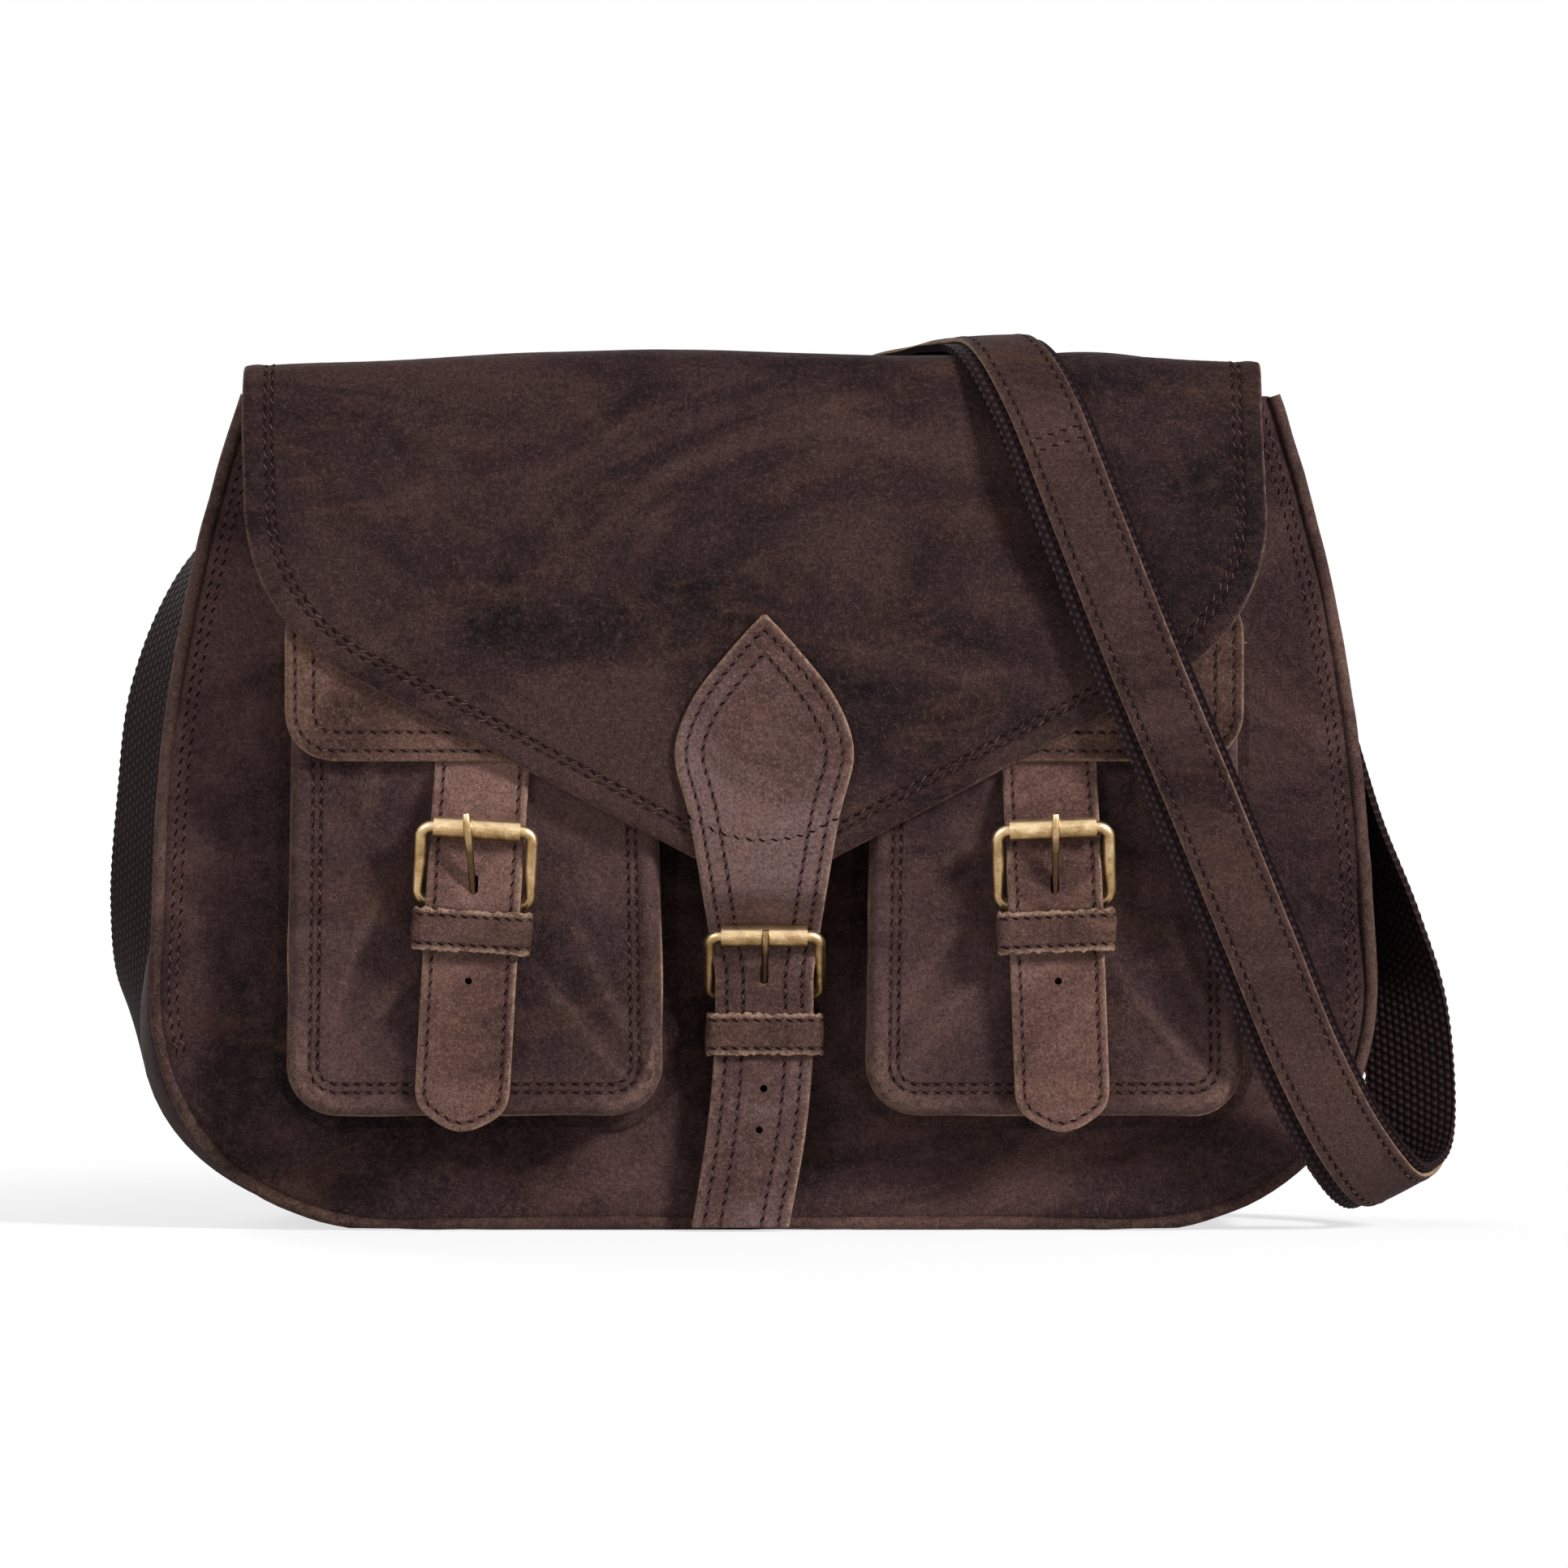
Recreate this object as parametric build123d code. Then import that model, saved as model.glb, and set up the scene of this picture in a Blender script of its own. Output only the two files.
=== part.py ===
# Leather shoulder bag with a saddle-shaped body, two buckled front pockets and a buckled main flap.
# Millimetres. X runs to the right as seen from the front, Y to the back and Z up.
# The origin is the middle of the base, on the surface that the bag stands on.
from build123d import *
import math
import os

os.makedirs("parts", exist_ok=True)

# Body
base_half = 100.0  # flat of the base, from the middle to where its corners begin
corner_radius = 78.0  # lower corners of the saddle outline
side_radius = 524.0  # long arcs of both sides
body_height = 244.0  # top edge of the front and back panels
body_depth = 90.0  # outer face of the front panel to outer face of the back panel
gusset_pinch = 18.0  # how far the sides are pulled in at the mouth
panel_leather = 2.0
gusset_leather = 2.0
rim_radius = 2.0  # piping round the panels
lining_cloth = 0.8
lining_height = 240.0
lining_clearance = 0.3
seam_gap = 0.2  # between pieces that thread holds together
running_gap = 0.3  # between pieces that move past each other

# Main flap
flap_leather = 2.2
flap_half_width = 147.5
flap_top = 253.1  # middle of the leather where it crosses the mouth
flap_hinge_height = 248.0
flap_fold_depth = 10.0  # how far in front of the panel the leather turns down
flap_full_height = 182.0  # where the flap lies flat again, over the pockets
flap_bend_height = 122.0  # below this the closure strap pulls the flap in
flap_bend_radius = 60.0
flap_tip_lean = 13.9  # how far the tip turns in, in degrees
flap_point_height = 98.05  # where the two slanting edges would meet
flap_slant = 28.0
flap_corner_radius = 56.0
flap_point_radius = 35.0
flap_back_radius = 3.5  # bends of the leather, from the seam at the back to the front
flap_fold_radius = 8.0
flap_front_radius = 30.0
flap_rest_radius = 60.0
sewn_strip_height = 24.6
hem_leather = 1.2
hem_drop = 15.0
hem_half_width = 145.0

# Front pockets
pocket_offset = 84.0  # from the middle of the bag to the middle of a pocket
pocket_half_top = 53.0
pocket_half_bottom = 55.0
pocket_bottom = 34.0
pocket_top = 172.0
pocket_corner = 15.0
pocket_depth = 22.0  # front panel to the outer face of the pocket
pocket_leather = 2.0
pocket_gusset_leather = 1.6
pocket_rim_radius = 1.6
pocket_flap_leather = 1.8
pocket_flap_overhang = 1.6
pocket_flap_bottom = 136.0
pocket_flap_corner = 14.0
pocket_hinge_height = 180.0

# Straps that close the bag
strap_leather = 2.2
closure_half_width = 14.3
leaf_edge = [(9.5, 169.7), (21.0, 154.7), (26.0, 140.0), (21.7, 120.3)]  # right edge of the head
right_tail_edge = [(14.2, 51.5), (12.0, 27.9)]
left_tail_edge = [(-14.8, 51.5), (-17.0, 27.9)]
tail_end_edges = (-21.3, 7.2)
closure_tail_height = 35.0  # where the tail hangs free of the body
closure_bends = [8.0, 8.0, 20.0, 20.0]  # below the roller
pocket_strap_half_width = 13.75
pocket_strap_shoulder = 60.5  # below the buckle's bottom bar, where the end begins to narrow
pocket_strap_point = 67.3
pocket_strap_under = 24.0  # sewn length under the pocket flap
pocket_strap_tail = [(-3.6, -42.0), (-1.8, -68.0)]  # depth and height of the tail's middle
pocket_strap_bends = [14.0, 10.0, 6.0, 10.0, 30.0, 60.0]
pocket_strap_end_radius = 8.0
pocket_strap_shoulder_radius = 3.0
strap_hole_radius = 1.1
closure_hole_pitch = 12.0
pocket_hole_pitch = 13.75
closure_hole_count = 3
pocket_hole_count = 2
prong_slot_width = 3.0
closure_tail_end = 1.0

# Roller buckles
buckle_wire = 1.75  # radius of the frame's wire
buckle_inner_width = 28.6
buckle_reach = 22.5  # bottom bar to top bar
buckle_corner = 3.2
roller_radius = 3.1
roller_length = 25.0
bar_clearance = 0.15
prong_wire = 1.0
prong_eye_wire = 0.8
prong_length = 26.0
chape_leather = 1.2
chape_width = 24.0
chape_drop = 22.0
chape_slot = 4.0
keeper_leather = 1.2
keeper_side = 1.6
keeper_height = 12.2
keeper_half_inside = 15.4
keeper_depth = 9.0
bar_stand_off = 3.8  # middle of the bottom bar, from the face that the chape is sewn to
centre_bar_height = 69.0
centre_tilt = 40.0
centre_keeper_drop = 5.4
pocket_bar_height = 96.0
pocket_tilt = 17.5
pocket_keeper_drop = 2.0
left_sway = 3.5
right_sway = -2.25

# Side rings and the shoulder strap
ring_wire = 1.6
ring_inner_width = 27.0
ring_reach = 16.0
ring_corner = 3.0
ring_height = 233.0
ring_droop = 43.0  # angle of the ring below the horizontal
tab_leather = 1.5
tab_width = 22.0
tab_length = 34.0
tab_stand_off = 4.6
webbing_width = 25.4
webbing_thickness = 2.0
overlay_width = 20.4
overlay_thickness = 1.6
strap_end_length = 9.0

# Derived places
half_depth = body_depth / 2
side_centre = side_radius - base_half - corner_radius
rim_inset = rim_radius
panel_inset = 2 * rim_radius + seam_gap
rim_depth = half_depth - panel_leather / 2
gusset_half = rim_depth - rim_radius - seam_gap
front_face = -half_depth
pocket_face = front_face - pocket_depth
pocket_rim_depth = pocket_face + pocket_rim_radius
pocket_panel_inset = 2 * pocket_rim_radius + seam_gap
pocket_strap_out = seam_gap + running_gap + strap_leather / 2
pocket_flap_out = pocket_strap_out + strap_leather / 2 + running_gap + pocket_flap_leather / 2
pocket_flap_depth = pocket_face - pocket_flap_out
flap_depth = pocket_flap_depth - pocket_flap_leather / 2 - running_gap - flap_leather / 2
flap_hinge_depth = half_depth + seam_gap + flap_leather / 2
roller_seat = roller_radius + running_gap + strap_leather / 2
through = 2 * (body_height + body_depth)  # longer than the bag, for cutting right through it


def half_width(height, inset):
    """Half-width of the body's outline at a height above its corners."""
    rise = height - corner_radius
    return math.sqrt((side_radius - inset) ** 2 - rise**2) - side_centre


def body_path(inset, height):
    """Outline of the body from the left top corner round the base to the right top corner."""
    corner = corner_radius - inset
    low = [
        CenterArc((-base_half, corner_radius), corner, 180, 90),
        Line((-base_half, inset), (base_half, inset)),
        CenterArc((base_half, corner_radius), corner, 270, 90),
    ]
    if height <= corner_radius:
        return Wire(low)
    sweep_angle = math.degrees(math.asin((height - corner_radius) / (side_radius - inset)))
    left = CenterArc((side_centre, corner_radius), side_radius - inset, 180 - sweep_angle, sweep_angle)
    right = CenterArc((-side_centre, corner_radius), side_radius - inset, 0, sweep_angle)
    return Wire([left] + low + [right])


def body_face(inset, height):
    path = body_path(inset, height)
    return make_face(Wire(path.edges() + [Line(path @ 1, path @ 0)]))


def along_depth(face, front, back):
    """Solid of a front-view outline between two depths."""
    return extrude(Plane.XZ.offset(-back) * face, amount=back - front)


def pinch(height):
    """How far the middle of the gusset is pulled in at a height."""
    share = max(height - corner_radius, 0) / (body_height - corner_radius)
    return gusset_pinch * share**1.5


def pinch_cutter(inset):
    """What the pinched sides take away from the body, on the right."""
    sections = []
    levels = 6
    top = body_height + 10
    for level in range(levels):
        height = corner_radius + (top - corner_radius) * level / (levels - 1)
        edge = half_width(height, inset)
        bow = max(pinch(height), 0.3)
        arc = ThreePointArc((edge, -gusset_half), (edge - bow, 0), (edge, gusset_half))
        out = edge + 3 * gusset_pinch
        rest = Polyline((edge, gusset_half), (out, gusset_half), (out, -gusset_half), (edge, -gusset_half))
        sections.append(Pos(0, 0, height) * make_face(Wire([arc] + rest.edges())))
    return loft(sections)


def body_volume(inset, front, back, height):
    """Body outline between two depths, with the pinch of the sides taken out."""
    cutter = pinch_cutter(inset)
    return along_depth(body_face(inset, height), front, back) - cutter - mirror(cutter, Plane.YZ)


def strip(points, radii, thickness, half_width_x):
    """Leather whose middle follows points (depth, height), drawn out to both sides."""
    line = FilletPolyline(*points, radius=radii)
    return extrude(Plane.YZ * make_face(line.offset_2d(thickness / 2)), amount=half_width_x, both=True)


def front_prism(face):
    return extrude(Plane.XZ * face, amount=through, both=True)


def wire_loop(path, radius):
    """Round wire along a closed path."""
    return sweep(Plane(origin=path @ 0, z_dir=path % 0) * Circle(radius), path=path)


def bar_between(radius, length):
    """Round bar along X."""
    return extrude(Plane.YZ * Circle(radius), amount=length / 2, both=True)


# ---------------------------------------------------------------- body
def make_body():
    panel = along_depth(body_face(panel_inset, body_height), front_face, front_face + panel_leather)
    rim_line = Plane.XZ.offset(rim_depth) * body_path(rim_inset, body_height)
    rim = sweep(Plane(origin=rim_line @ 0, z_dir=rim_line % 0) * Circle(rim_radius), path=rim_line)
    low_band = body_face(0, corner_radius) - body_face(gusset_leather, corner_radius)
    low = along_depth(low_band, -gusset_half, gusset_half)
    shell = body_volume(0, -gusset_half, gusset_half, body_height)
    shell -= body_volume(gusset_leather, -half_depth, half_depth, body_height + 1)
    above = Pos(through / 2, 0, corner_radius + through / 2) * Box(through, body_depth, through)
    side = shell & above
    cloth_inset = gusset_leather + lining_clearance
    inner_half = gusset_half - lining_cloth
    lining = body_volume(cloth_inset, -gusset_half, gusset_half, lining_height)
    lining -= body_volume(cloth_inset + lining_cloth, -inner_half, inner_half, lining_height + 1)
    return {
        "front_panel": panel,
        "back_panel": mirror(panel, Plane.XZ),
        "front_piping": rim,
        "back_piping": mirror(rim, Plane.XZ),
        "gusset_bottom": low,
        "gusset_right": side,
        "gusset_left": mirror(side, Plane.YZ),
        "lining": lining,
    }


def make_mouth():
    """Turned hem over the front panel, and the strip of the flap that is sewn to the back."""
    outer = front_face - seam_gap - hem_leather / 2
    inner = lining_cloth + seam_gap + hem_leather / 2 - gusset_half
    top = body_height + seam_gap + hem_leather / 2
    low = body_height - hem_drop
    hem = strip(
        [(outer, low), (outer, top), (inner, top), (inner, low)],
        [1.0, 1.0],
        hem_leather,
        hem_half_width,
    )
    strip_top = flap_hinge_height - flap_leather / 2 - 2 * running_gap
    back_leather = Pos(0, flap_hinge_depth, strip_top - sewn_strip_height / 2) * Box(
        2 * flap_half_width - 2 * rim_radius, flap_leather, sewn_strip_height
    )
    return {"front_top_hem": hem, "flap_sewn_strip": back_leather}


# ---------------------------------------------------------------- main flap
def flap_outline():
    rise = flap_half_width * math.tan(math.radians(flap_slant))
    shoulder = flap_point_height + rise
    high = flap_top + sewn_strip_height
    return make_face(
        FilletPolyline(
            (-flap_half_width, high),
            (-flap_half_width, shoulder),
            (0, flap_point_height),
            (flap_half_width, shoulder),
            (flap_half_width, high),
            radius=[0, flap_corner_radius, flap_point_radius, flap_corner_radius, 0],
            close=True,
        )
    )


def make_flap():
    tip_depth = flap_depth + (flap_bend_height - flap_point_height) * math.tan(math.radians(flap_tip_lean))
    fold = front_face - flap_fold_depth
    middle = [
        (flap_hinge_depth, flap_hinge_height),
        (flap_hinge_depth, flap_top),
        (fold + 4, flap_top),
        (fold - 2, flap_top - 10),
        (flap_depth, flap_full_height),
        (flap_depth, flap_bend_height),
        (tip_depth, flap_point_height),
    ]
    bends = [flap_back_radius, flap_fold_radius, flap_front_radius, flap_rest_radius, flap_bend_radius]
    leather = strip(middle, bends, flap_leather, flap_half_width)
    return leather & front_prism(flap_outline())


def closure_outline():
    """Leaf-shaped head, straight neck and a tail that sways to the left."""
    head_top = flap_full_height - 2
    neck = centre_bar_height + 6
    half = closure_half_width
    left_end, right_end = tail_end_edges
    right_head = Spline((0, head_top), *leaf_edge, (half, neck))
    left_head = mirror(right_head, Plane.YZ).edge()
    right_tail = Spline((half, neck), *right_tail_edge, (right_end, closure_tail_end))
    left_tail = Spline((-half, neck), *left_tail_edge, (left_end, closure_tail_end))
    end = Line((left_end, closure_tail_end), (right_end, closure_tail_end))
    return make_face(Wire([right_head, right_tail, end, left_tail, left_head]))


def closure_line():
    """Middle of the closure strap: over the flap, behind the roller, through the keeper and down."""
    proud = flap_leather / 2 + seam_gap + strap_leather / 2
    on_flap = flap_depth - proud
    lean = math.radians(flap_tip_lean)
    bend = flap_bend_height - proud * math.tan(lean / 2)
    off_tip = flap_point_height + 2
    bar_depth = front_face - bar_stand_off
    tilt = math.radians(centre_tilt)
    behind_roller = bar_depth - buckle_reach * math.sin(tilt) + roller_seat
    roller_height = centre_bar_height + buckle_reach * math.cos(tilt)
    return [
        (on_flap, flap_full_height),
        (on_flap, bend),
        (on_flap + (bend - off_tip) * math.tan(lean), off_tip),
        (behind_roller, roller_height + 1.8),
        (behind_roller, roller_height - 9.7),
        (bar_depth - 3.4, centre_bar_height - 4),
        (bar_depth - 3.0, centre_bar_height - 17),
        (bar_depth - 4.0, closure_tail_height),
        (bar_depth - 3.0, closure_tail_end),
    ]


def make_closure_strap():
    bends = [flap_bend_radius + flap_leather, flap_fold_radius, roller_seat] + closure_bends
    leather = strip(closure_line(), bends, strap_leather, 2 * closure_half_width)
    leather &= front_prism(closure_outline())
    slot_low = centre_bar_height - 3
    slot_high = centre_bar_height + 11.5
    leather -= prong_slot(slot_low, slot_high)
    for index in range(closure_hole_count + 1):
        height = centre_bar_height - 3.4 - closure_hole_pitch * index
        sway = -0.004 * max(centre_bar_height - 20 - height, 0) ** 2
        leather -= front_prism(Pos(sway, height) * Circle(strap_hole_radius))
    return leather


def prong_slot(low, high):
    """Long hole that a prong comes out of."""
    return front_prism(Pos(0, (low + high) / 2) * Rot(0, 0, 90) * SlotOverall(high - low, prong_slot_width))


# ---------------------------------------------------------------- pockets
def pocket_path(inset):
    lean = (pocket_half_bottom - pocket_half_top) / (pocket_top - pocket_bottom)
    bottom = pocket_bottom + inset
    low_half = pocket_half_bottom - inset - lean * inset
    return FilletPolyline(
        (-pocket_half_top + inset, pocket_top),
        (-low_half, bottom),
        (low_half, bottom),
        (pocket_half_top - inset, pocket_top),
        radius=pocket_corner - inset,
    )


def pocket_outline(inset):
    path = pocket_path(inset)
    return make_face(Wire(path.edges() + [Line(path @ 1, path @ 0)]))


def pocket_flap_outline():
    half = pocket_half_top + pocket_flap_overhang
    high = pocket_hinge_height + 20
    return make_face(
        FilletPolyline(
            (-half, high),
            (-half, pocket_flap_bottom),
            (half, pocket_flap_bottom),
            (half, high),
            radius=[0, pocket_flap_corner, pocket_flap_corner, 0],
            close=True,
        )
    )


def make_pocket_flap():
    hinge_depth = front_face - seam_gap - pocket_flap_leather / 2
    middle = [
        (hinge_depth, pocket_hinge_height),
        (hinge_depth - 6, pocket_hinge_height),
        (pocket_flap_depth, pocket_top + 3.5),
        (pocket_flap_depth, pocket_flap_bottom + pocket_flap_leather / 2),
    ]
    leather = strip(middle, [10, 4], pocket_flap_leather, pocket_half_top + pocket_flap_overhang)
    return leather & front_prism(pocket_flap_outline())


def make_pocket_strap():
    """Strap that comes out from under the pocket flap, local to its buckle's bottom bar."""
    past_eye = -(bar_stand_off + buckle_wire + bar_clearance + 2 * prong_eye_wire + running_gap + strap_leather / 2)
    past_chape = -(3 * chape_leather + 3 * seam_gap + running_gap + strap_leather / 2)
    tilt = math.radians(pocket_tilt)
    behind_roller = -bar_stand_off - buckle_reach * math.sin(tilt) + roller_seat
    roller_height = buckle_reach * math.cos(tilt)
    under_flap = pocket_flap_bottom - pocket_bar_height
    middle = [
        (-pocket_strap_out, under_flap + pocket_strap_under),
        (-pocket_strap_out, under_flap - 3),
        (behind_roller, roller_height),
        (past_eye, 0),
        (past_chape, -9),
        (past_chape, -chape_drop - 1),
    ] + pocket_strap_tail
    leather = strip(middle, pocket_strap_bends, strap_leather, 2 * pocket_strap_half_width)
    half = pocket_strap_half_width
    outline = make_face(
        FilletPolyline(
            (-half, under_flap + 40),
            (-half, -pocket_strap_shoulder),
            (0, -pocket_strap_point),
            (half, -pocket_strap_shoulder),
            (half, under_flap + 40),
            radius=[0, pocket_strap_shoulder_radius, pocket_strap_end_radius, pocket_strap_shoulder_radius, 0],
            close=True,
        )
    )
    leather &= front_prism(outline)
    leather -= prong_slot(-1.5, 10)
    for index in range(pocket_hole_count):
        height = 5 - pocket_hole_pitch * (index + 1)
        leather -= front_prism(Pos(0, height) * Circle(strap_hole_radius))
    return leather


def make_pocket():
    """Pieces of a pocket about its own middle line."""
    front = along_depth(pocket_outline(pocket_panel_inset), pocket_face, pocket_face + pocket_leather)
    band = pocket_outline(0) - pocket_outline(pocket_gusset_leather)
    gusset_front = pocket_rim_depth + pocket_rim_radius + seam_gap
    gusset = along_depth(band, gusset_front, front_face - running_gap)
    rim_line = Plane.XZ.offset(-pocket_rim_depth) * pocket_path(pocket_rim_radius)
    rim = sweep(Plane(origin=rim_line @ 0, z_dir=rim_line % 0) * Circle(pocket_rim_radius), path=rim_line)
    return {"pocket_front": front, "pocket_gusset": gusset, "pocket_piping": rim, "pocket_flap": make_pocket_flap()}


# ---------------------------------------------------------------- buckles
def make_buckle(tilt, keeper_drop):
    """Buckle, chape and keeper about the bottom bar's height on the face that they are sewn to."""
    lean = math.radians(tilt)
    bar = Vector(0, -bar_stand_off, 0)
    up = Vector(0, -math.sin(lean), math.cos(lean))
    out = Vector(0, -math.cos(lean), -math.sin(lean))
    top_bar = bar + up * buckle_reach

    half = buckle_inner_width / 2 + buckle_wire
    loop = FilletPolyline(
        (-half, 0), (half, 0), (half, buckle_reach), (-half, buckle_reach), radius=buckle_corner, close=True
    )
    frame = wire_loop(Plane(origin=bar, x_dir=(1, 0, 0), z_dir=out) * loop, buckle_wire)

    sleeve = bar_between(roller_radius, roller_length)
    sleeve -= bar_between(buckle_wire + bar_clearance, roller_length + 1)
    roller = Pos(top_bar) * sleeve

    eye = buckle_wire + bar_clearance + prong_eye_wire
    rest = roller_radius + bar_clearance + prong_wire
    side_view = Plane(origin=bar, x_dir=up, z_dir=(1, 0, 0))
    line = side_view * FilletPolyline(
        (0, eye), (buckle_reach - 6, rest - 0.1), (buckle_reach, rest), (prong_length, rest - 1), radius=[20, 8]
    )
    shank = sweep(Plane(origin=line @ 0, z_dir=line % 0) * Circle(prong_wire), path=line)
    prong = shank + Pos(line @ 1) * Sphere(prong_wire) + Pos(bar) * Rot(0, 90, 0) * Torus(eye, prong_eye_wire)

    fold = buckle_wire + bar_clearance + chape_leather / 2
    back = -bar_stand_off + fold
    front = -bar_stand_off - fold
    seat = -seam_gap - chape_leather / 2
    over = seat - 2 * (chape_leather + seam_gap)
    turn = [
        Line((seat, -chape_drop), (seat, -5)),
        Line((seat, -5), (back, -1)),
        Line((back, -1), (back, 0)),
        ThreePointArc((back, 0), (-bar_stand_off, fold), (front, 0)),
        Line((front, 0), (front, -1.5)),
        Line((front, -1.5), (over, -6)),
        Line((over, -6), (over, -chape_drop)),
    ]
    face = make_face(Wire(turn).offset_2d(chape_leather / 2))
    eye_slot = Pos(0, -bar_stand_off, 0) * Box(chape_slot, 4 * fold, 2 * (eye + prong_eye_wire + running_gap))
    chape = extrude(Plane.YZ * face, amount=chape_width / 2, both=True) - eye_slot

    keeper_back = seat - chape_leather / 2 - seam_gap
    depth_middle = keeper_back - keeper_depth / 2
    outer = RectangleRounded(2 * (keeper_half_inside + keeper_side), keeper_depth, 1.5)
    inner = Rectangle(2 * keeper_half_inside, keeper_depth - 2 * keeper_leather)
    low = -keeper_drop - keeper_height
    notch = Pos(0, -bar_stand_off, 0) * Box(chape_width + 2 * running_gap, 4 * fold, 10.4)
    keeper = extrude(Pos(0, depth_middle, low) * (outer - inner), amount=keeper_height) - notch
    return {"buckle_frame": frame, "buckle_roller": roller, "buckle_prong": prong, "chape": chape, "keeper": keeper}


# ---------------------------------------------------------------- side rings
def make_ring():
    """Right-hand ring with its tab and the folded end of the shoulder strap."""
    low = ring_height - tab_length
    high = ring_height
    foot = Vector(half_width(low, 0) - pinch(low), 0, low)
    head = Vector(half_width(high, 0) - pinch(high), 0, high)
    up = (head - foot).normalized()
    out = Vector(up.Z, 0, -up.X)
    bar = head + out * tab_stand_off
    fold = ring_wire + bar_clearance + tab_leather / 2
    side_view = Plane(origin=bar, x_dir=out, z_dir=(0, -1, 0))
    turn = [
        Line((-fold, -tab_length), (-fold, 0)),
        ThreePointArc((-fold, 0), (0, fold), (fold, 0)),
        Line((fold, 0), (fold, -3)),
        Line((fold, -3), (tab_leather + seam_gap - fold, -9)),
        Line((tab_leather + seam_gap - fold, -9), (tab_leather + seam_gap - fold, -tab_length)),
    ]
    face = make_face(Wire(turn).offset_2d(tab_leather / 2))
    tab = extrude(side_view * face, amount=tab_width / 2, both=True)

    droop = math.radians(ring_droop)
    reach = Vector(math.cos(droop), 0, -math.sin(droop))
    half = ring_inner_width / 2 + ring_wire
    loop = FilletPolyline((-half, 0), (half, 0), (half, ring_reach), (-half, ring_reach), radius=ring_corner, close=True)
    ring_plane = Plane(origin=bar, x_dir=(0, 1, 0), z_dir=Vector(0, 1, 0).cross(reach))
    ring = wire_loop(ring_plane * loop, ring_wire)
    return tab, ring, bar + reach * ring_reach


# ---------------------------------------------------------------- shoulder strap
# Each station is a point on the middle of the webbing and the way its outer face looks.
strap_route = [
    ((-157.5, 0.0, 213.0), (-0.97, -0.05, 0.25)),
    ((-168.0, 1.0, 188.0), (-0.95, -0.2, 0.2)),
    ((-178.5, 5.0, 156.0), (-0.92, -0.38, 0.1)),
    ((-184.0, 10.0, 122.0), (-0.91, -0.41, 0.0)),
    ((-184.5, 16.0, 88.0), (-0.91, -0.41, 0.0)),
    ((-183.5, 24.0, 63.0), (-0.93, -0.2, -0.2)),
    ((-182.0, 38.0, 47.0), (-0.9, 0.2, -0.5)),
    ((-174.0, 53.0, 38.0), (-0.5, 0.35, -0.9)),
    ((-158.5, 60.5, 42.0), (0.3, 0.75, -0.7)),
    ((-141.5, 58.5, 57.0), (0.1, 1.0, -0.2)),
    ((-118.0, 53.0, 81.0), (0.0, 1.0, 0.0)),
    ((-82.0, 50.0, 120.0), (0.0, 1.0, 0.0)),
    ((-44.0, 50.0, 168.0), (0.0, 1.0, 0.0)),
    ((-10.0, 51.0, 211.0), (0.0, 1.0, 0.0)),
    ((12.0, 51.0, 241.0), (0.0, 1.0, 0.1)),
    ((21.0, 48.5, 254.5), (0.0, 0.8, 0.6)),
    ((30.0, 38.0, 259.5), (0.0, 0.2, 1.0)),
    ((44.0, 10.0, 259.3), (0.0, 0.0, 1.0)),
    ((57.0, -20.0, 259.3), (0.0, -0.05, 1.0)),
    ((69.0, -48.0, 257.0), (0.0, -0.5, 1.0)),
    ((79.0, -64.0, 240.0), (0.0, -1.0, 0.5)),
    ((92.0, -75.5, 206.0), (0.0, -1.0, 0.25)),
    ((107.0, -79.0, 168.0), (0.0, -1.0, 0.0)),
    ((125.0, -79.5, 125.0), (0.0, -1.0, 0.0)),
    ((141.0, -77.0, 86.0), (0.05, -1.0, -0.05)),
    ((156.0, -70.0, 50.0), (0.2, -1.0, -0.2)),
    ((170.0, -58.0, 25.0), (0.4, -0.8, -0.6)),
    ((182.0, -42.0, 13.0), (0.55, -0.1, -1.0)),
    ((190.0, -26.0, 17.0), (0.7, 0.6, -0.6)),
    ((191.5, -17.0, 34.0), (0.35, 0.95, -0.1)),
    ((190.5, -12.0, 60.0), (0.45, 0.9, 0.0)),
    ((186.5, -8.0, 88.0), (0.8, 0.55, 0.1)),
    ((181.5, -3.0, 118.0), (0.95, 0.3, 0.15)),
    ((174.0, -1.0, 156.0), (0.97, 0.1, 0.2)),
    ((165.5, 0.0, 187.0), (0.97, 0.0, 0.25)),
    ((157.5, 0.0, 213.0), (0.97, 0.0, 0.25)),
]
left_end_station = 9  # where the left strand hands over to the back one
leather_station = 11
crest_station = 17
turn_station = 29
section_pitch = 9.0
strap_line = Spline(*[point for point, _ in strap_route])
strap_marks = [strap_line.param_at_point(Vector(*point)) for point, _ in strap_route]


def strap_place(place):
    """Plane across the strap at a share of its length, with the outer face towards local Y."""
    span = 0
    while span < len(strap_marks) - 2 and place > strap_marks[span + 1]:
        span += 1
    share = (place - strap_marks[span]) / (strap_marks[span + 1] - strap_marks[span])
    look = Vector(*strap_route[span][1]) * (1 - share) + Vector(*strap_route[span + 1][1]) * share
    along = strap_line % place
    look = (look - along * look.dot(along)).normalized()
    return Plane(origin=strap_line @ place, x_dir=look.cross(along), z_dir=along)


def ribbon(first, last, width, thickness, lift=0.0):
    """Flat strap between two stations; lift sets its middle off the webbing's, outwards."""
    start, end = strap_marks[first], strap_marks[last]
    count = max(2, round(strap_line.length * (end - start) / section_pitch))
    sections = []
    for index in range(count + 1):
        plane = strap_place(start + (end - start) * index / count)
        sections.append(plane * Pos(0, lift) * Rectangle(width, thickness))
    return loft(sections, ruled=True)


def webbing(first, last):
    return ribbon(first, last, webbing_width, webbing_thickness)


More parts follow.
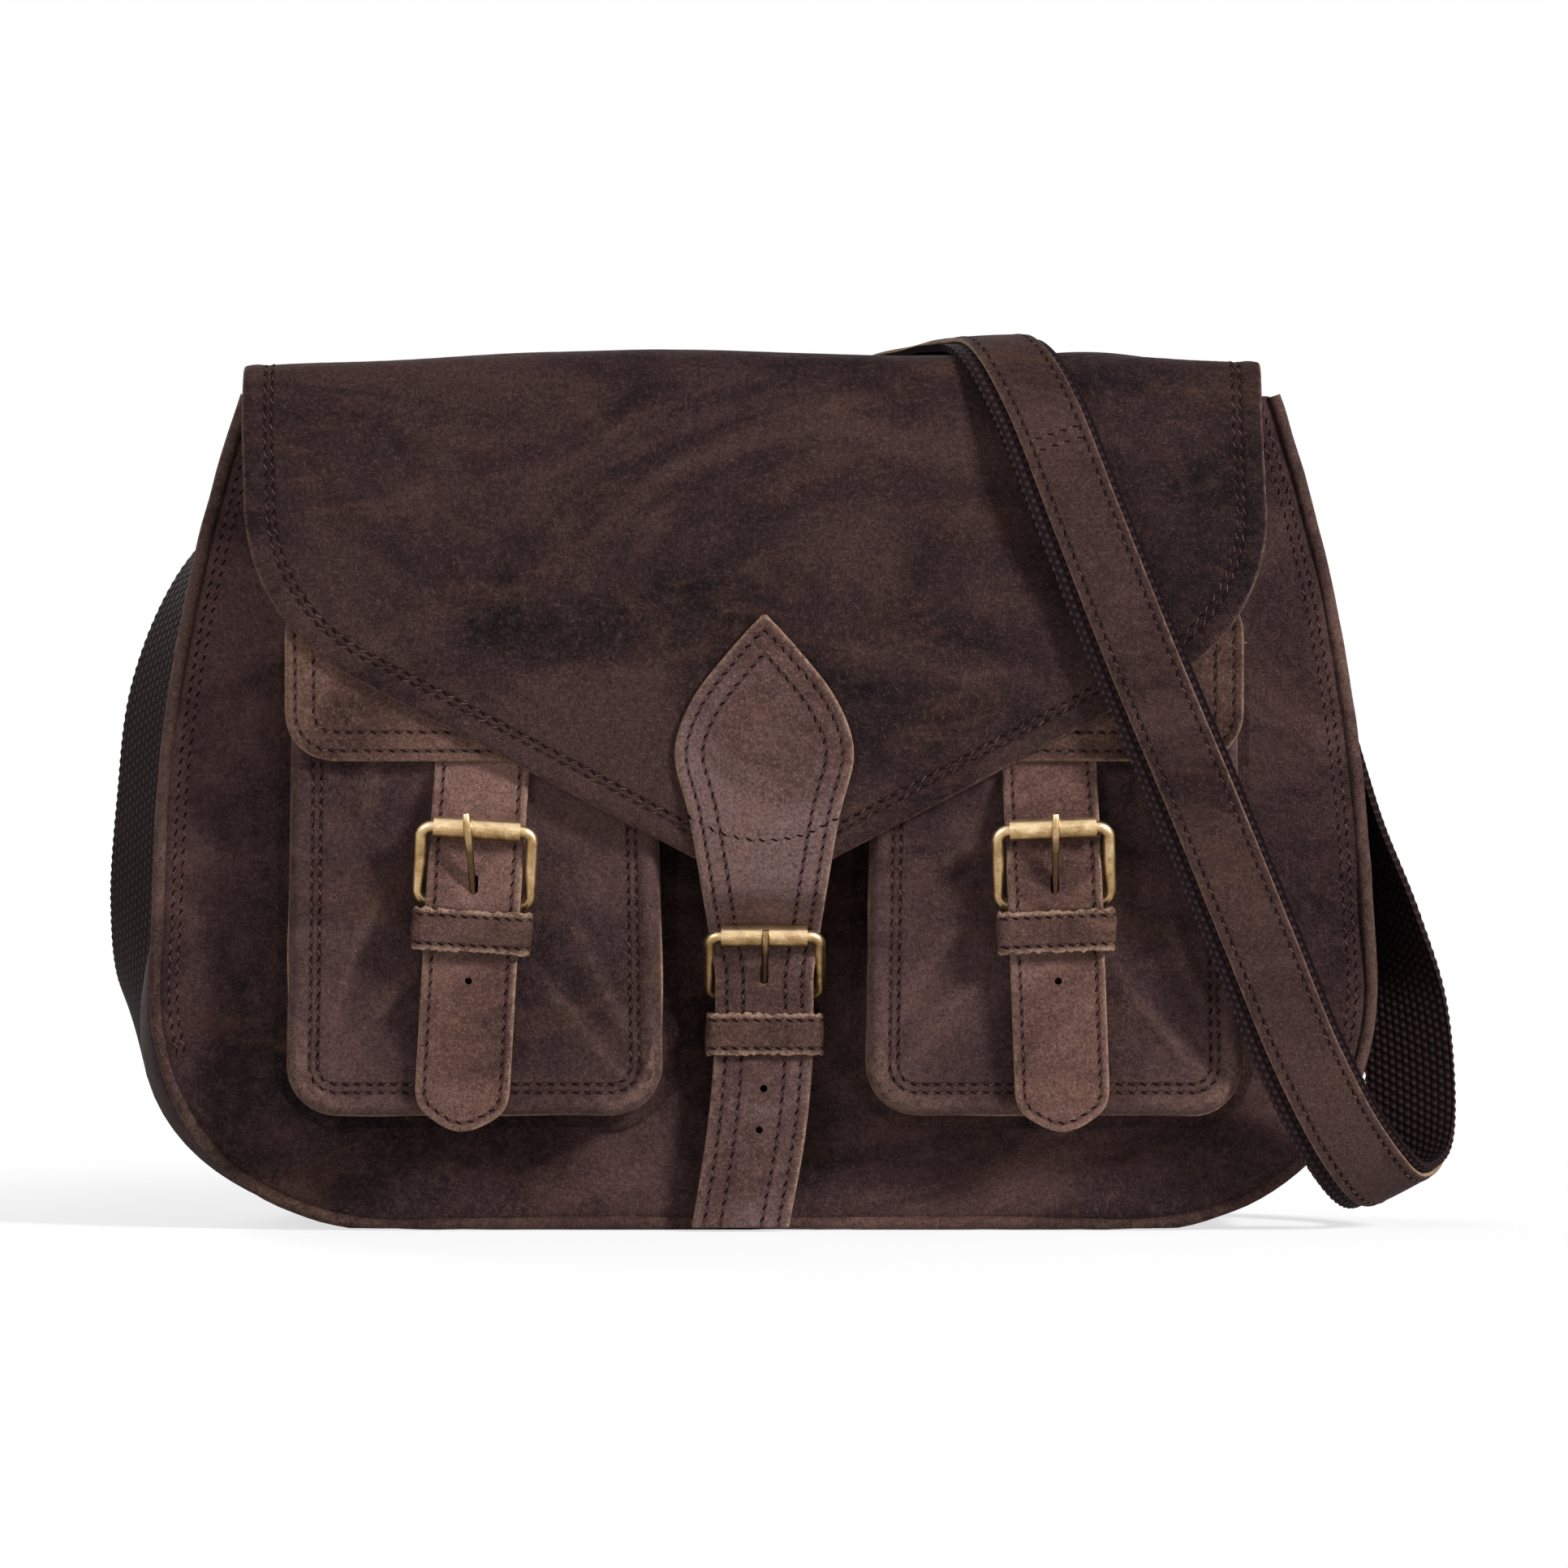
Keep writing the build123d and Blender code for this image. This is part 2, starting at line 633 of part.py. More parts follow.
def overlay(first, last):
    return ribbon(first, last, overlay_width, overlay_thickness, (webbing_thickness + overlay_thickness) / 2 + 0.1)


def strap_end(bar, start):
    """Folded end of the webbing round the ring's outer bar, towards the strand's first station."""
    fold = ring_wire + bar_clearance + webbing_thickness / 2
    run = (start - bar).normalized()
    side = Vector(run.Z, 0, -run.X)
    view = Plane(origin=bar, x_dir=side, z_dir=side.cross(run * -1))
    loop = view * Circle(fold + webbing_thickness / 2) - view * Circle(fold - webbing_thickness / 2)
    sleeve = extrude(loop, amount=webbing_width / 2, both=True)
    tail_length = (start - bar).length - fold + 1 - running_gap
    middle = bar + run * (fold - 1 + tail_length / 2)
    tail = Plane(origin=middle, x_dir=side, z_dir=run) * Box(webbing_thickness, webbing_width, tail_length)
    return sleeve + tail


def build():
    nodes = {}
    nodes.update(make_body())
    nodes.update(make_mouth())
    nodes["main_flap"] = make_flap()
    nodes["closure_strap"] = make_closure_strap()

    centre = Pos(0, front_face, centre_bar_height)
    for name, piece in make_buckle(centre_tilt, centre_keeper_drop).items():
        nodes["centre_" + name] = centre * piece

    buckle = make_buckle(pocket_tilt, pocket_keeper_drop)
    buckle["pocket_strap"] = make_pocket_strap()
    for side, place, sway in (("left", -pocket_offset, left_sway), ("right", pocket_offset, right_sway)):
        for name, piece in make_pocket().items():
            nodes[side + "_" + name] = Pos(place, 0, 0) * piece
        seat = Pos(place, pocket_face, pocket_bar_height) * Rot(0, sway, 0)
        for name, piece in buckle.items():
            nodes[side + "_" + name] = seat * piece

    tab, ring, outer_bar = make_ring()
    right_end = strap_end(outer_bar, Vector(*strap_route[-1][0]))
    for name, piece in (("ring_tab", tab), ("ring", ring), ("strap_end", right_end)):
        nodes["right_" + name] = piece
        nodes["left_" + name] = mirror(piece, Plane.YZ)

    last = len(strap_route) - 1
    nodes["strap_left"] = webbing(0, left_end_station)
    nodes["strap_back_webbing"] = webbing(left_end_station, crest_station)
    nodes["strap_back_leather"] = overlay(leather_station, crest_station)
    nodes["strap_front_webbing"] = webbing(crest_station, turn_station)
    nodes["strap_front_leather"] = overlay(crest_station, turn_station)
    nodes["strap_right"] = webbing(turn_station, last)
    return nodes


nodes = build()
for name, solid in nodes.items():
    export_step(solid, f"parts/{name}.step")
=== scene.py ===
import math
import bpy
import numpy as np
from mathutils import Matrix, Vector, noise


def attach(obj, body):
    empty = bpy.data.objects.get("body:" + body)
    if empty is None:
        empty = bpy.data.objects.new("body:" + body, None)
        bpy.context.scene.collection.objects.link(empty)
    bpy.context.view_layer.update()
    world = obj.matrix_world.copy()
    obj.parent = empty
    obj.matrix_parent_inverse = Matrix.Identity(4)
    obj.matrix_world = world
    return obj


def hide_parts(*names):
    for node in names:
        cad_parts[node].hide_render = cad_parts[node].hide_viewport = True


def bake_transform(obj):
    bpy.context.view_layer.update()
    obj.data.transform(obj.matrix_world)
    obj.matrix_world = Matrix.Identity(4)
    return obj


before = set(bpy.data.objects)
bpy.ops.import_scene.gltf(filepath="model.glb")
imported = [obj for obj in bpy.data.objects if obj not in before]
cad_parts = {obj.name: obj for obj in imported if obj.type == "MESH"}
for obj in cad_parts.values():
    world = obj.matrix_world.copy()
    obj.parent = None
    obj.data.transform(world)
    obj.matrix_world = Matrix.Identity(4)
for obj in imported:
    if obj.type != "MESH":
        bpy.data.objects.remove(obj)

bpy.ops.object.select_all(action="DESELECT")
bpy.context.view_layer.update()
mm = 0.001
noise.seed_set(1)


# camera, straight in front of the bag
cameraSettings = {"centre": (5.7, -55.0, 130.4), "distance": 2100.0, "frameWidth": 456.5, "sensor": 36.0}


def addCamera():
    s = cameraSettings
    x, y, z = s["centre"]
    place = (x * mm, (y - s["distance"]) * mm, z * mm)
    bpy.ops.object.camera_add(location=place, rotation=(math.pi / 2, 0, 0))
    camera = bpy.context.object
    camera.data.sensor_width = s["sensor"]
    camera.data.lens = s["sensor"] * s["distance"] / s["frameWidth"]
    camera.data.clip_start = 0.01
    bpy.context.scene.camera = camera


addCamera()
print("camera placed")


class Tone:
    # a number on its way through a material; arithmetic on it adds Math nodes
    def __init__(self, paint, socket):
        self.paint = paint
        self.socket = socket

    def math(self, operation, *others):
        return self.paint.node("ShaderNodeMath", {"operation": operation}, dict(enumerate((self, *others))))

    def __add__(self, other):
        return self.math("ADD", other)

    def __sub__(self, other):
        return self.math("SUBTRACT", other)

    def __rsub__(self, other):
        return self.paint.node("ShaderNodeMath", {"operation": "SUBTRACT"}, {0: other, 1: self})

    def __mul__(self, other):
        return self.math("MULTIPLY", other)

    def between(self, low, high):
        # 0 below low, 1 above high, smooth in between
        settings = {"interpolation_type": "SMOOTHSTEP"}
        return self.paint.node("ShaderNodeMapRange", settings, {0: self, 1: low, 2: high, 3: 0.0, 4: 1.0})


class Paint:
    def __init__(self, name, world=None):
        self.material = world or bpy.data.materials.new(name)
        self.material.use_nodes = True
        self.tree = self.material.node_tree
        self.tree.nodes.clear()
        self.spot = None

    def node(self, kind, settings=None, values=None, out=0):
        made = self.tree.nodes.new(kind)
        for name, value in (settings or {}).items():
            if name == "stops":
                while len(made.color_ramp.elements) < len(value):
                    made.color_ramp.elements.new(0.5)
                for element, (place, colour) in zip(made.color_ramp.elements, value):
                    element.position = place
                    element.color = (*colour, 1.0)
            else:
                setattr(made, name, value)
        for name, value in (values or {}).items():
            if isinstance(value, Tone):
                self.tree.links.new(value.socket, made.inputs[name])
            elif hasattr(value, "__len__") and len(value) == 3 and made.inputs[name].type == "RGBA":
                made.inputs[name].default_value = (*value, 1.0)
            else:
                made.inputs[name].default_value = value
        return None if out is None else Tone(self, made.outputs[out])

    def place(self):
        self.spot = self.spot or self.node("ShaderNodeTexCoord", out="Object")
        return self.spot

    def part(self, vector, axis):
        return self.node("ShaderNodeSeparateXYZ", None, {0: vector}, out=axis)

    def attribute(self, name, out="Fac"):
        return self.node("ShaderNodeAttribute", {"attribute_name": name}, out=out)

    def cloud(self, size, detail=3.0, roughness=0.55, distortion=0.0, offset=0.0, along=1.0):
        # soft noise from 0 to 1, its patches about size millimetres across, longer in x where along is small
        moved = self.node("ShaderNodeMapping", None, {
            "Vector": self.place(), "Location": (offset, offset, offset), "Scale": (along, 1.0, 1.0)})
        return self.node("ShaderNodeTexNoise", None, {
            "Vector": moved, "Scale": 1000.0 / size, "Detail": detail, "Roughness": roughness,
            "Distortion": distortion})

    def mix(self, factor, first, second, blend="MIX"):
        settings = {"data_type": "RGBA", "blend_type": blend}
        return self.node("ShaderNodeMix", settings, {0: factor, 6: first, 7: second}, out=2)

    def ramp(self, factor, *stops):
        return self.node("ShaderNodeValToRGB", {"stops": stops}, {0: factor})

    def bump(self, height, under=None):
        values = {"Height": height, "Distance": 1.0, "Strength": 1.0}
        if under is not None:
            values["Normal"] = under
        return self.node("ShaderNodeBump", None, values)

    def finish(self, colour, roughness, normal, **constants):
        values = {name.replace("_", " "): value for name, value in constants.items()}
        values.update({"Base Color": colour, "Roughness": roughness, "Normal": normal})
        self.output(self.node("ShaderNodeBsdfPrincipled", None, values))
        return self.material

    def output(self, shader, kind="ShaderNodeOutputMaterial"):
        self.node(kind, None, {"Surface": shader}, out=None)


# leathers: the tones of each, among them the painted shade of the seam grooves, how ridged its turned edge
# is, and how far its seams are from the edge
hide = {
    "dark": (0.0085, 0.0046, 0.0056), "mid": (0.026, 0.0135, 0.0133), "light": (0.048, 0.0262, 0.0235),
    "warm": (0.076, 0.039, 0.0265), "worn": (0.17, 0.103, 0.078), "seam": (0.01, 0.005, 0.0048),
    "ridges": 0.0, "seams": ()}
strapHide = dict(
    hide, dark=(0.064, 0.0325, 0.028), mid=(0.12, 0.0625, 0.0515), light=(0.176, 0.099, 0.083),
    warm=(0.165, 0.088, 0.06), worn=(0.32, 0.205, 0.145), seam=(0.026, 0.013, 0.0115))

# each noise: patch size in millimetres, detail, roughness, distortion, offset and scale along x
leatherSettings = {
    "clouds": (66.0, 6.0, 0.64, 1.0, 0.0, 0.62), "smear": (24.0, 8.0, 0.72, 1.2, 7.0, 0.5),
    "mottle": (5.0, 5.0, 0.70, 0.4, 3.0), "scuff": (14.0, 9.0, 0.85, 2.2, 5.0),
    "rubbed": (3.5, 7.0, 0.80, 0.6, 1.0),
    "speckle": (0.75, 3.0, 0.80, 0.0, 9.0), "coarse": (1.4, 4.0, 0.80, 0.3, 2.0),
    "gathers": (1.9, 3.0, 0.65, 0.4, 0.0, 0.22),
    "layers": (("smear", 0.48, 0.72, 0.60, "warm"), ("mottle", 0.42, 0.72, 0.40, "light"),
               ("scuff", 0.58, 0.76, 0.35, "worn")),
    "heights": (("speckle", 0.00045), ("coarse", 0.00060), ("mottle", 0.00080), ("rubbed", 0.00040)),
    "rim": (0.0001, 0.0011), "turned": (0.0052, 0.0066), "groove": (0.0001, 0.0008), "grooveDepth": 0.00030,
    "roughness": 0.72}


def leather(name, base=hide, **changes):
    # oiled leather: dark clouds, warm rubbed streaks, suede-like speckle and a paler rim
    s = leatherSettings
    look = dict(base, **changes)
    paint = Paint(name)
    kinds = ("clouds", "smear", "mottle", "scuff", "rubbed", "speckle", "coarse")
    noises = {kind: paint.cloud(*s[kind]) for kind in kinds}
    tone = paint.ramp(noises["clouds"], (0.39, look["dark"]), (0.50, look["mid"]), (0.61, look["light"]))
    for kind, low, high, amount, colour in s["layers"]:
        tone = paint.mix(noises[kind].between(low, high) * amount, tone, look[colour])
    rim = paint.attribute("rim")
    edge = (1.0 - rim.between(*s["rim"])) * 0.85 + paint.attribute("worn")
    tone = paint.mix(edge * noises["rubbed"].between(0.36, 0.62), tone, look["worn"])
    grain = noises["speckle"] * 0.6 + noises["coarse"] * 0.4
    shade = paint.ramp(grain, (0.38, (0.40, 0.38, 0.40)), (0.50, (0.86, 0.85, 0.86)),
                       (0.61, (1.16, 1.15, 1.15)))
    tone = paint.mix(0.95, tone, shade, "MULTIPLY")
    tone = paint.mix(grain.between(0.52, 0.63) * 0.16, tone, look["worn"])
    first, *others = [noises[kind] * height for kind, height in s["heights"]]
    height = sum(others, first)
    if look["ridges"]:
        # small gathers across the turned edge, their crests painted paler as a painted highlight
        gathers = paint.cloud(*s["gathers"])
        band = 1.0 - rim.between(*s["turned"])
        height = height + gathers * band * look["ridges"]
        tone = paint.mix(band * gathers.between(0.48, 0.70) * 0.30, tone, look["light"])
    normal = paint.bump(height)
    # dark lines along the seams: painted shade in the pressed stitch grooves, with a shallow bump
    groove = None
    for seam in look["seams"]:
        line = 1.0 - (rim - seam * mm).math("ABSOLUTE").between(*s["groove"])
        groove = line if groove is None else groove.math("MAXIMUM", line)
    if groove is not None:
        tone = paint.mix(groove * 0.55, tone, look["seam"])
        normal = paint.bump(groove * -s["grooveDepth"], normal)
    rough = noises["mottle"] * -0.12 + s["roughness"]
    return paint.finish(tone, rough, normal, Specular_IOR_Level=0.05)


def plainPaint(name, grain, stops, roughness, height, shine):
    # one noise between two tones: the fibres of a cut edge, or the strands of thread
    paint = Paint(name)
    fibre = paint.cloud(*grain)
    return paint.finish(paint.ramp(fibre, *stops), roughness, paint.bump(fibre * height),
                        Specular_IOR_Level=shine)


def rawEdge(name, dark, light):
    return plainPaint(name, (1.3, 4.0, 0.75, 0.5), ((0.32, dark), (0.68, light)), 0.85, 0.0004, 0.2)


def threadPaint(name, dark, light):
    return plainPaint(name, (2.2, 2.0, 0.6), ((0.35, dark), (0.65, light)), 0.9, 0.0001, 0.03)


def webbingPaint(name, column=0.0021, rib=0.0027):
    # chunky plain weave that follows the strap: pattern holds across and along, in metres
    paint = Paint(name)
    flat = paint.attribute("pattern", "Vector")
    across = (paint.part(flat, 0) * (math.pi / column)).math("SINE")
    side = across.math("SIGN") * 0.5
    wave = ((paint.part(flat, 1) * (1 / rib) + side * 0.5) * (2 * math.pi)).math("SINE") * 0.5 + 0.5
    bead = wave * across.math("ABSOLUTE").math("POWER", 0.6)
    fuzz = paint.cloud(0.9, 3.0, 0.8)
    tone = paint.ramp(bead * 0.75 + fuzz * 0.35, (0.18, (0.0026, 0.0010, 0.0013)),
                      (0.58, (0.0150, 0.0054, 0.0070)),
                      (0.95, (0.0340, 0.0140, 0.0170)))
    return paint.finish(tone, 0.85, paint.bump(bead * 0.0009 + fuzz * 0.0002), Specular_IOR_Level=0.12)


def clothPaint(name, pitch=0.0009):
    # plain woven cotton of the lining
    paint = Paint(name)
    x, z = (paint.part(paint.place(), axis) * (2 * math.pi / pitch) for axis in (0, 2))
    weave = x.math("SINE") * z.math("SINE")
    soil = paint.cloud(30.0, 3.0, 0.6)
    tone = paint.ramp(soil * 0.7 + weave * 0.15 + 0.15, (0.2, (0.105, 0.075, 0.048)),
                      (0.8, (0.205, 0.152, 0.100)))
    return paint.finish(tone, 0.9, paint.bump(weave * 0.00012 + soil * 0.001), Specular_IOR_Level=0.2)


def brassPaint(name, prongShadedBelow=False):
    # brushed antique brass, browned in patches, with painted light on its tops and painted shade on its
    # undersides, and painted shade on a prong below the roller
    paint = Paint(name)
    brushed = paint.cloud(0.35, 3.0, 0.6, along=0.12)
    age = paint.cloud(6.0, 5.0, 0.70, 0.5)
    # painted light and shade: paler where the surface faces up, darker where it faces down
    upward = paint.part(paint.node("ShaderNodeTexCoord", out="Normal"), 2) * 0.5 + 0.5
    tone = paint.ramp(age * 0.55 + brushed * 0.25 + upward.between(0.1, 0.75) * 0.24 - 0.02,
                      (0.28, (0.13, 0.070, 0.026)), (0.46, (0.40, 0.255, 0.115)), (0.66, (0.80, 0.60, 0.36)))
    # the prong gets painted shade below the roller and keeps its painted light at the top
    if prongShadedBelow:
        tone = paint.mix(0.86 - paint.attribute("worn") * 0.80, tone, (0.040, 0.022, 0.012))
    return paint.finish(tone, brushed * 0.25 + 0.22, paint.bump(brushed * 0.00003), Metallic=1.0)


paints = {
    "body": leather("bodyLeather", dark=(0.02, 0.0107, 0.0117), mid=(0.044, 0.0232, 0.023),
                    light=(0.08, 0.044, 0.0415)),
    "pocket": leather("pocketLeather", dark=(0.026, 0.0139, 0.0152), mid=(0.048, 0.0258, 0.0258),
                      light=(0.079, 0.0445, 0.042), ridges=0.0003, seams=(7.0, 9.4)),
    "flap": leather("flapLeather", dark=(0.0072, 0.0039, 0.0051), mid=(0.023, 0.0121, 0.0122),
                    light=(0.048, 0.026, 0.0235), warm=(0.072, 0.0375, 0.0265), ridges=0.0005,
                    seams=(6.6, 8.6)),
    "pocketFlap": leather("pocketFlapLeather", strapHide, dark=(0.036, 0.0185, 0.015),
                          mid=(0.072, 0.038, 0.0295),
                          light=(0.12, 0.067, 0.052), seams=(3.0, 8.4)),
    "plain": leather("plainLeather"),
    "strap": leather("strapLeather", strapHide, seams=(2.6,)),
    "belt": leather("shoulderLeather", dark=(0.017, 0.0086, 0.0085), mid=(0.036, 0.0186, 0.0176),
                    light=(0.059, 0.032, 0.0282), seams=(2.6,)),
    "leaf": leather("leafLeather", strapHide, mid=(0.088, 0.048, 0.043), light=(0.145, 0.09, 0.084),
                    seams=(3.4, 8.2)),
    "keeper": leather("keeperLeather", strapHide, dark=(0.037, 0.019, 0.0165), mid=(0.07, 0.0365, 0.0302),
                      light=(0.108, 0.06, 0.05), seams=(2.0,)),
    "piping": leather("pipingLeather", dark=(0.025, 0.013, 0.012), mid=(0.054, 0.028, 0.0255),
                      light=(0.095, 0.054, 0.045)),
    "edge": rawEdge("cutLeatherEdge", (0.060, 0.034, 0.022), (0.34, 0.215, 0.135)),
    "bodyEdge": rawEdge("bodyCutEdge", (0.040, 0.024, 0.018), (0.17, 0.105, 0.070)),
    # the dark thread also carries the painted shade of the stitch holes
    "thread": threadPaint("darkThreadWithHoleShade", (0.0045, 0.0021, 0.0021), (0.0140, 0.0066, 0.0064)),
    "fibre": threadPaint("paleThread", (0.050, 0.026, 0.022), (0.150, 0.090, 0.074)),
    "webbing": webbingPaint("cottonWebbing"),
    "lining": clothPaint("liningCloth"),
    "brass": brassPaint("antiqueBrass"),
    "darkBrass": brassPaint("prongBrassShadedBelow", True)}
print("materials mixed:", len(paints))


def roundedLine(corners, radii, step=2.0):
    # points in millimetres along straight runs joined by arcs, one radius for each inner corner
    corners = np.array(corners, float)
    points = [corners[0]]
    for radius, last, here, following in zip(radii, corners, corners[1:], corners[2:]):
        before, after = here - last, following - here
        before, after = before / np.linalg.norm(before), after / np.linalg.norm(after)
        turn = math.acos(max(-1, min(1, before @ after)))
        if turn < 0.01:
            points.append(here)
            continue
        back = radius * math.tan(turn / 2)
        inward = (after - before) / np.linalg.norm(after - before)
        centre = here + inward * radius / math.cos(turn / 2)
        first, final = here - before * back - centre, here + after * back - centre
        pieces = max(3, math.ceil(radius * turn / step))
        for part in range(pieces + 1):
            angle = turn * part / pieces
            arm = first * math.sin(turn - angle) + final * math.sin(angle)
            points.append(centre + arm / math.sin(turn))
    points.append(corners[-1])
    return np.array(points)


def smoothLine(corners, step=1.5):
    # a flowing line through every corner
    corners = np.array(corners, float)
    gaps = np.linalg.norm(np.diff(corners, axis=0), axis=1)
    marks = np.concatenate([[0], np.cumsum(np.sqrt(gaps))])
    slopes = np.gradient(corners, marks, axis=0)
    points = []
    for index, gap in enumerate(gaps):
        span = marks[index + 1] - marks[index]
        count = max(2, math.ceil(gap / step))
        for t in np.arange(count) / count:
            points.append(
                (2 * t**3 - 3 * t**2 + 1) * corners[index] + (t**3 - 2 * t**2 + t) * span * slopes[index]
                + (3 * t**2 - 2 * t**3) * corners[index + 1] + (t**3 - t**2) * span * slopes[index + 1])
    points.append(corners[-1])
    return np.array(points)


def marksOf(line):
    # how far along the line each of its points is
    return np.concatenate([[0], np.cumsum(np.linalg.norm(np.diff(line, axis=0), axis=1))])


def evenly(line, pitch):
    # the same line in equal steps
    line = np.array(line, float)
    marks = marksOf(line)
    stations = np.linspace(0, marks[-1], max(2, round(marks[-1] / pitch) + 1))
    return np.column_stack([np.interp(stations, marks, axis) for axis in line.T])


def rising(values, nudge=1e-6):
    # the same values, each a hair above the one before
    return values + np.arange(len(values)) * nudge


def rectangle(half, start, end):
    return np.array([(-half, start), (half, start), (half, end), (-half, end), (-half, start)])


def levelLines(half, levels):
    # level lines from one side of a straight strip to the other
    return [((-half, level), (half, level)) for level in levels]


class Course:
    # the line that flat leather is laid along: a point of it, the way across and the way out, at each station
    def __init__(self, points, across=None, out=None):
        self.points = np.array(points, float)
        self.marks = marksOf(self.points)
        self.length = self.marks[-1]
        along = np.gradient(self.points, self.marks, axis=0)
        along /= np.linalg.norm(along, axis=1)[:, None]
        if out is None:
            across = np.tile(np.array(across, float), (len(along), 1))
            out = np.cross(across, along)
        else:
            out = np.array(out, float)
            out -= along * (out * along).sum(1)[:, None]
            across = np.cross(along, out)
        self.across = across / np.linalg.norm(across, axis=1)[:, None]
        self.out = out / np.linalg.norm(out, axis=1)[:, None]

    def lay(self, flat):
        # flat is across, along and out of each vertex; leather past an end runs straight on
        def blend(table):
            return np.column_stack([np.interp(flat[:, 1], self.marks, axis) for axis in table.T])
        low = np.clip(np.searchsorted(self.marks, flat[:, 1], side="right") - 1, 0, len(self.marks) - 2)
        step = self.points[low + 1] - self.points[low]
        over = flat[:, 1] - np.clip(flat[:, 1], 0, self.length)
        return (blend(self.points) + blend(self.across) * flat[:, :1] + blend(self.out) * flat[:, 2:]
                + step / np.linalg.norm(step, axis=1)[:, None] * over[:, None])

    def markAtHeight(self, heights, last=None):
        # how far along the course a height is, on its rising front
        front = np.maximum.accumulate(self.points[:last, 2])
        return np.interp(heights, rising(front, 1e-9), self.marks[:len(front)])


def sideView(corners, radii):
    # a course across X from (depth, height) corners
    line = evenly(roundedLine(corners, radii, 0.8), 0.8)
    return Course(np.column_stack([np.zeros(len(line)), line]), across=(1, 0, 0))


def readVertices(piece):
    flat = np.empty(len(piece.data.vertices) * 3)
    piece.data.vertices.foreach_get("co", flat)
    return flat.reshape(-1, 3)


def writeVertices(piece, places):
    piece.data.vertices.foreach_set("co", np.asarray(places, float).ravel())
    piece.data.update()


def turned(places, angle):
    # places turned about Y by an angle in degrees
    return places @ np.array(Matrix.Rotation(math.radians(angle), 3, "Y")).T


def selectOnly(*pieces):
    bpy.ops.object.select_all(action="DESELECT")
    for piece in pieces:
        piece.select_set(True)
    bpy.context.view_layer.objects.active = pieces[0]


def joined(*pieces):
    selectOnly(*pieces)
    if len(pieces) > 1:
        bpy.ops.object.join()
    return bpy.context.object


def editing(*steps):
    # edit-mode steps on all of the active piece, each an operator with its settings
    bpy.ops.object.mode_set(mode="EDIT")
    bpy.ops.mesh.select_all(action="SELECT")
    for step, settings in steps:
        step(**settings)
    bpy.ops.object.mode_set(mode="OBJECT")


def lineThrough(name, points, kind="POLY", **settings):
    # a curve object through points, in the units that they are given in
    line = bpy.data.curves.new(name, "CURVE")
    line.dimensions = "3D"
    for setting, value in settings.items():
        setattr(line, setting, value)
    spline = line.splines.new(kind)
    spline.points.add(len(points) - 1)
    for point, place in zip(spline.points, points):
        point.co = (*place, 1)
    piece = bpy.data.objects.new(name, line)
    bpy.context.scene.collection.objects.link(piece)
    return piece


def asMesh(piece):
    selectOnly(piece)
    bpy.ops.object.convert(target="MESH")
    return bpy.context.object


def distanceTo(points, outline):
    # shortest way from each flat point to a line of points
    best = np.full(len(points), 1e9)
    for a, b in zip(outline[:-1], outline[1:]):
        step = b - a
        t = np.clip(((points - a) @ step) / max(step @ step, 1e-12), 0, 1)
        best = np.minimum(best, np.linalg.norm(points - a - t[:, None] * step, axis=1))
    return best


farFromEdge = 20.0


def storePattern(piece, flat, rim=None, worn=None):
    # what the materials read: the place in the flat, the way to the nearest edge, and rubbed spots together
    # with painted highlights and shade
    pattern = piece.data.attributes.new("pattern", "FLOAT_VECTOR", "POINT")
    pattern.data.foreach_set("vector", (flat * mm).astype(np.float32).ravel())
    rim = np.full(len(flat), farFromEdge) if rim is None else rim
    worn = np.zeros(len(flat)) if worn is None else worn
    for name, value in (("rim", rim * mm), ("worn", worn)):
        layer = piece.data.attributes.new(name, "FLOAT", "POINT")
        layer.data.foreach_set("value", value.astype(np.float32))


def applyModifier(piece, kind, **settings):
    bpy.context.view_layer.objects.active = piece
    modifier = piece.modifiers.new(kind.lower(), kind)
    for name, value in settings.items():
        setattr(modifier, name, value)
    bpy.ops.object.modifier_apply(modifier=modifier.name)


def fractions(length, count, edge):
    # stations from 0 to 1 with two close to each edge, so that the rim stays crisp
    e = min(edge / length, 0.1)
    return np.concatenate([[0, e], np.linspace(3 * e, 1 - 3 * e, count), [1 - e, 1]])


def cutLeather(name, lines, count, thickness, paint, edge="edge", rimEdge=1.3, smooth=1):
    # a flat grid between the ends of lines, given its thickness; each line is (start, end) in the flat
    lengths = [max(math.dist(a, b), 0.01) for a, b in lines]
    share = fractions(np.median(lengths), count, rimEdge)
    bpy.ops.mesh.primitive_grid_add(x_subdivisions=len(share) - 1, y_subdivisions=len(lines) - 1, size=2)
    piece = bpy.context.object
    piece.name = name
    grid = readVertices(piece)
    column = np.rint((grid[:, 0] + 1) / 2 * (len(share) - 1)).astype(int)
    row = np.rint((grid[:, 1] + 1) / 2 * (len(lines) - 1)).astype(int)
    start, end = (np.array(ends, float)[row] for ends in zip(*lines))
    flat = start + (end - start) * share[column][:, None]
    writeVertices(piece, np.column_stack([flat, np.zeros(len(flat))]))
    for face in (paint, edge):
        piece.data.materials.append(paints[face])
    applyModifier(piece, "SOLIDIFY", thickness=thickness, offset=0, material_offset_rim=1)
    if smooth:
        applyModifier(piece, "SUBSURF", levels=smooth, render_levels=smooth)
    bpy.ops.object.shade_smooth()
    return piece


def rowsBetween(rightLine, leftLine=None, gap=4.0, first=1.2):
    # level lines across a shape from its right edge, given from the bottom up
    rightLine = np.array(rightLine, float)
    leftLine = rightLine * (-1, 1) if leftLine is None else np.array(leftLine, float)
    low, high = rightLine[0, 1], rightLine[-1, 1]
    levels = [low, low + first, low + 2.6 * first]
    while levels[-1] < high - gap - 2 * first:
        levels.append(levels[-1] + min(gap, max(1.6, (levels[-1] - low) * 0.35)))
    levels += [high - first, high]
    left, right = (np.interp(levels, line[:, 1], line[:, 0]) for line in (leftLine, rightLine))
    return [((a, z), (b, z)) for a, b, z in zip(left, right, levels)]


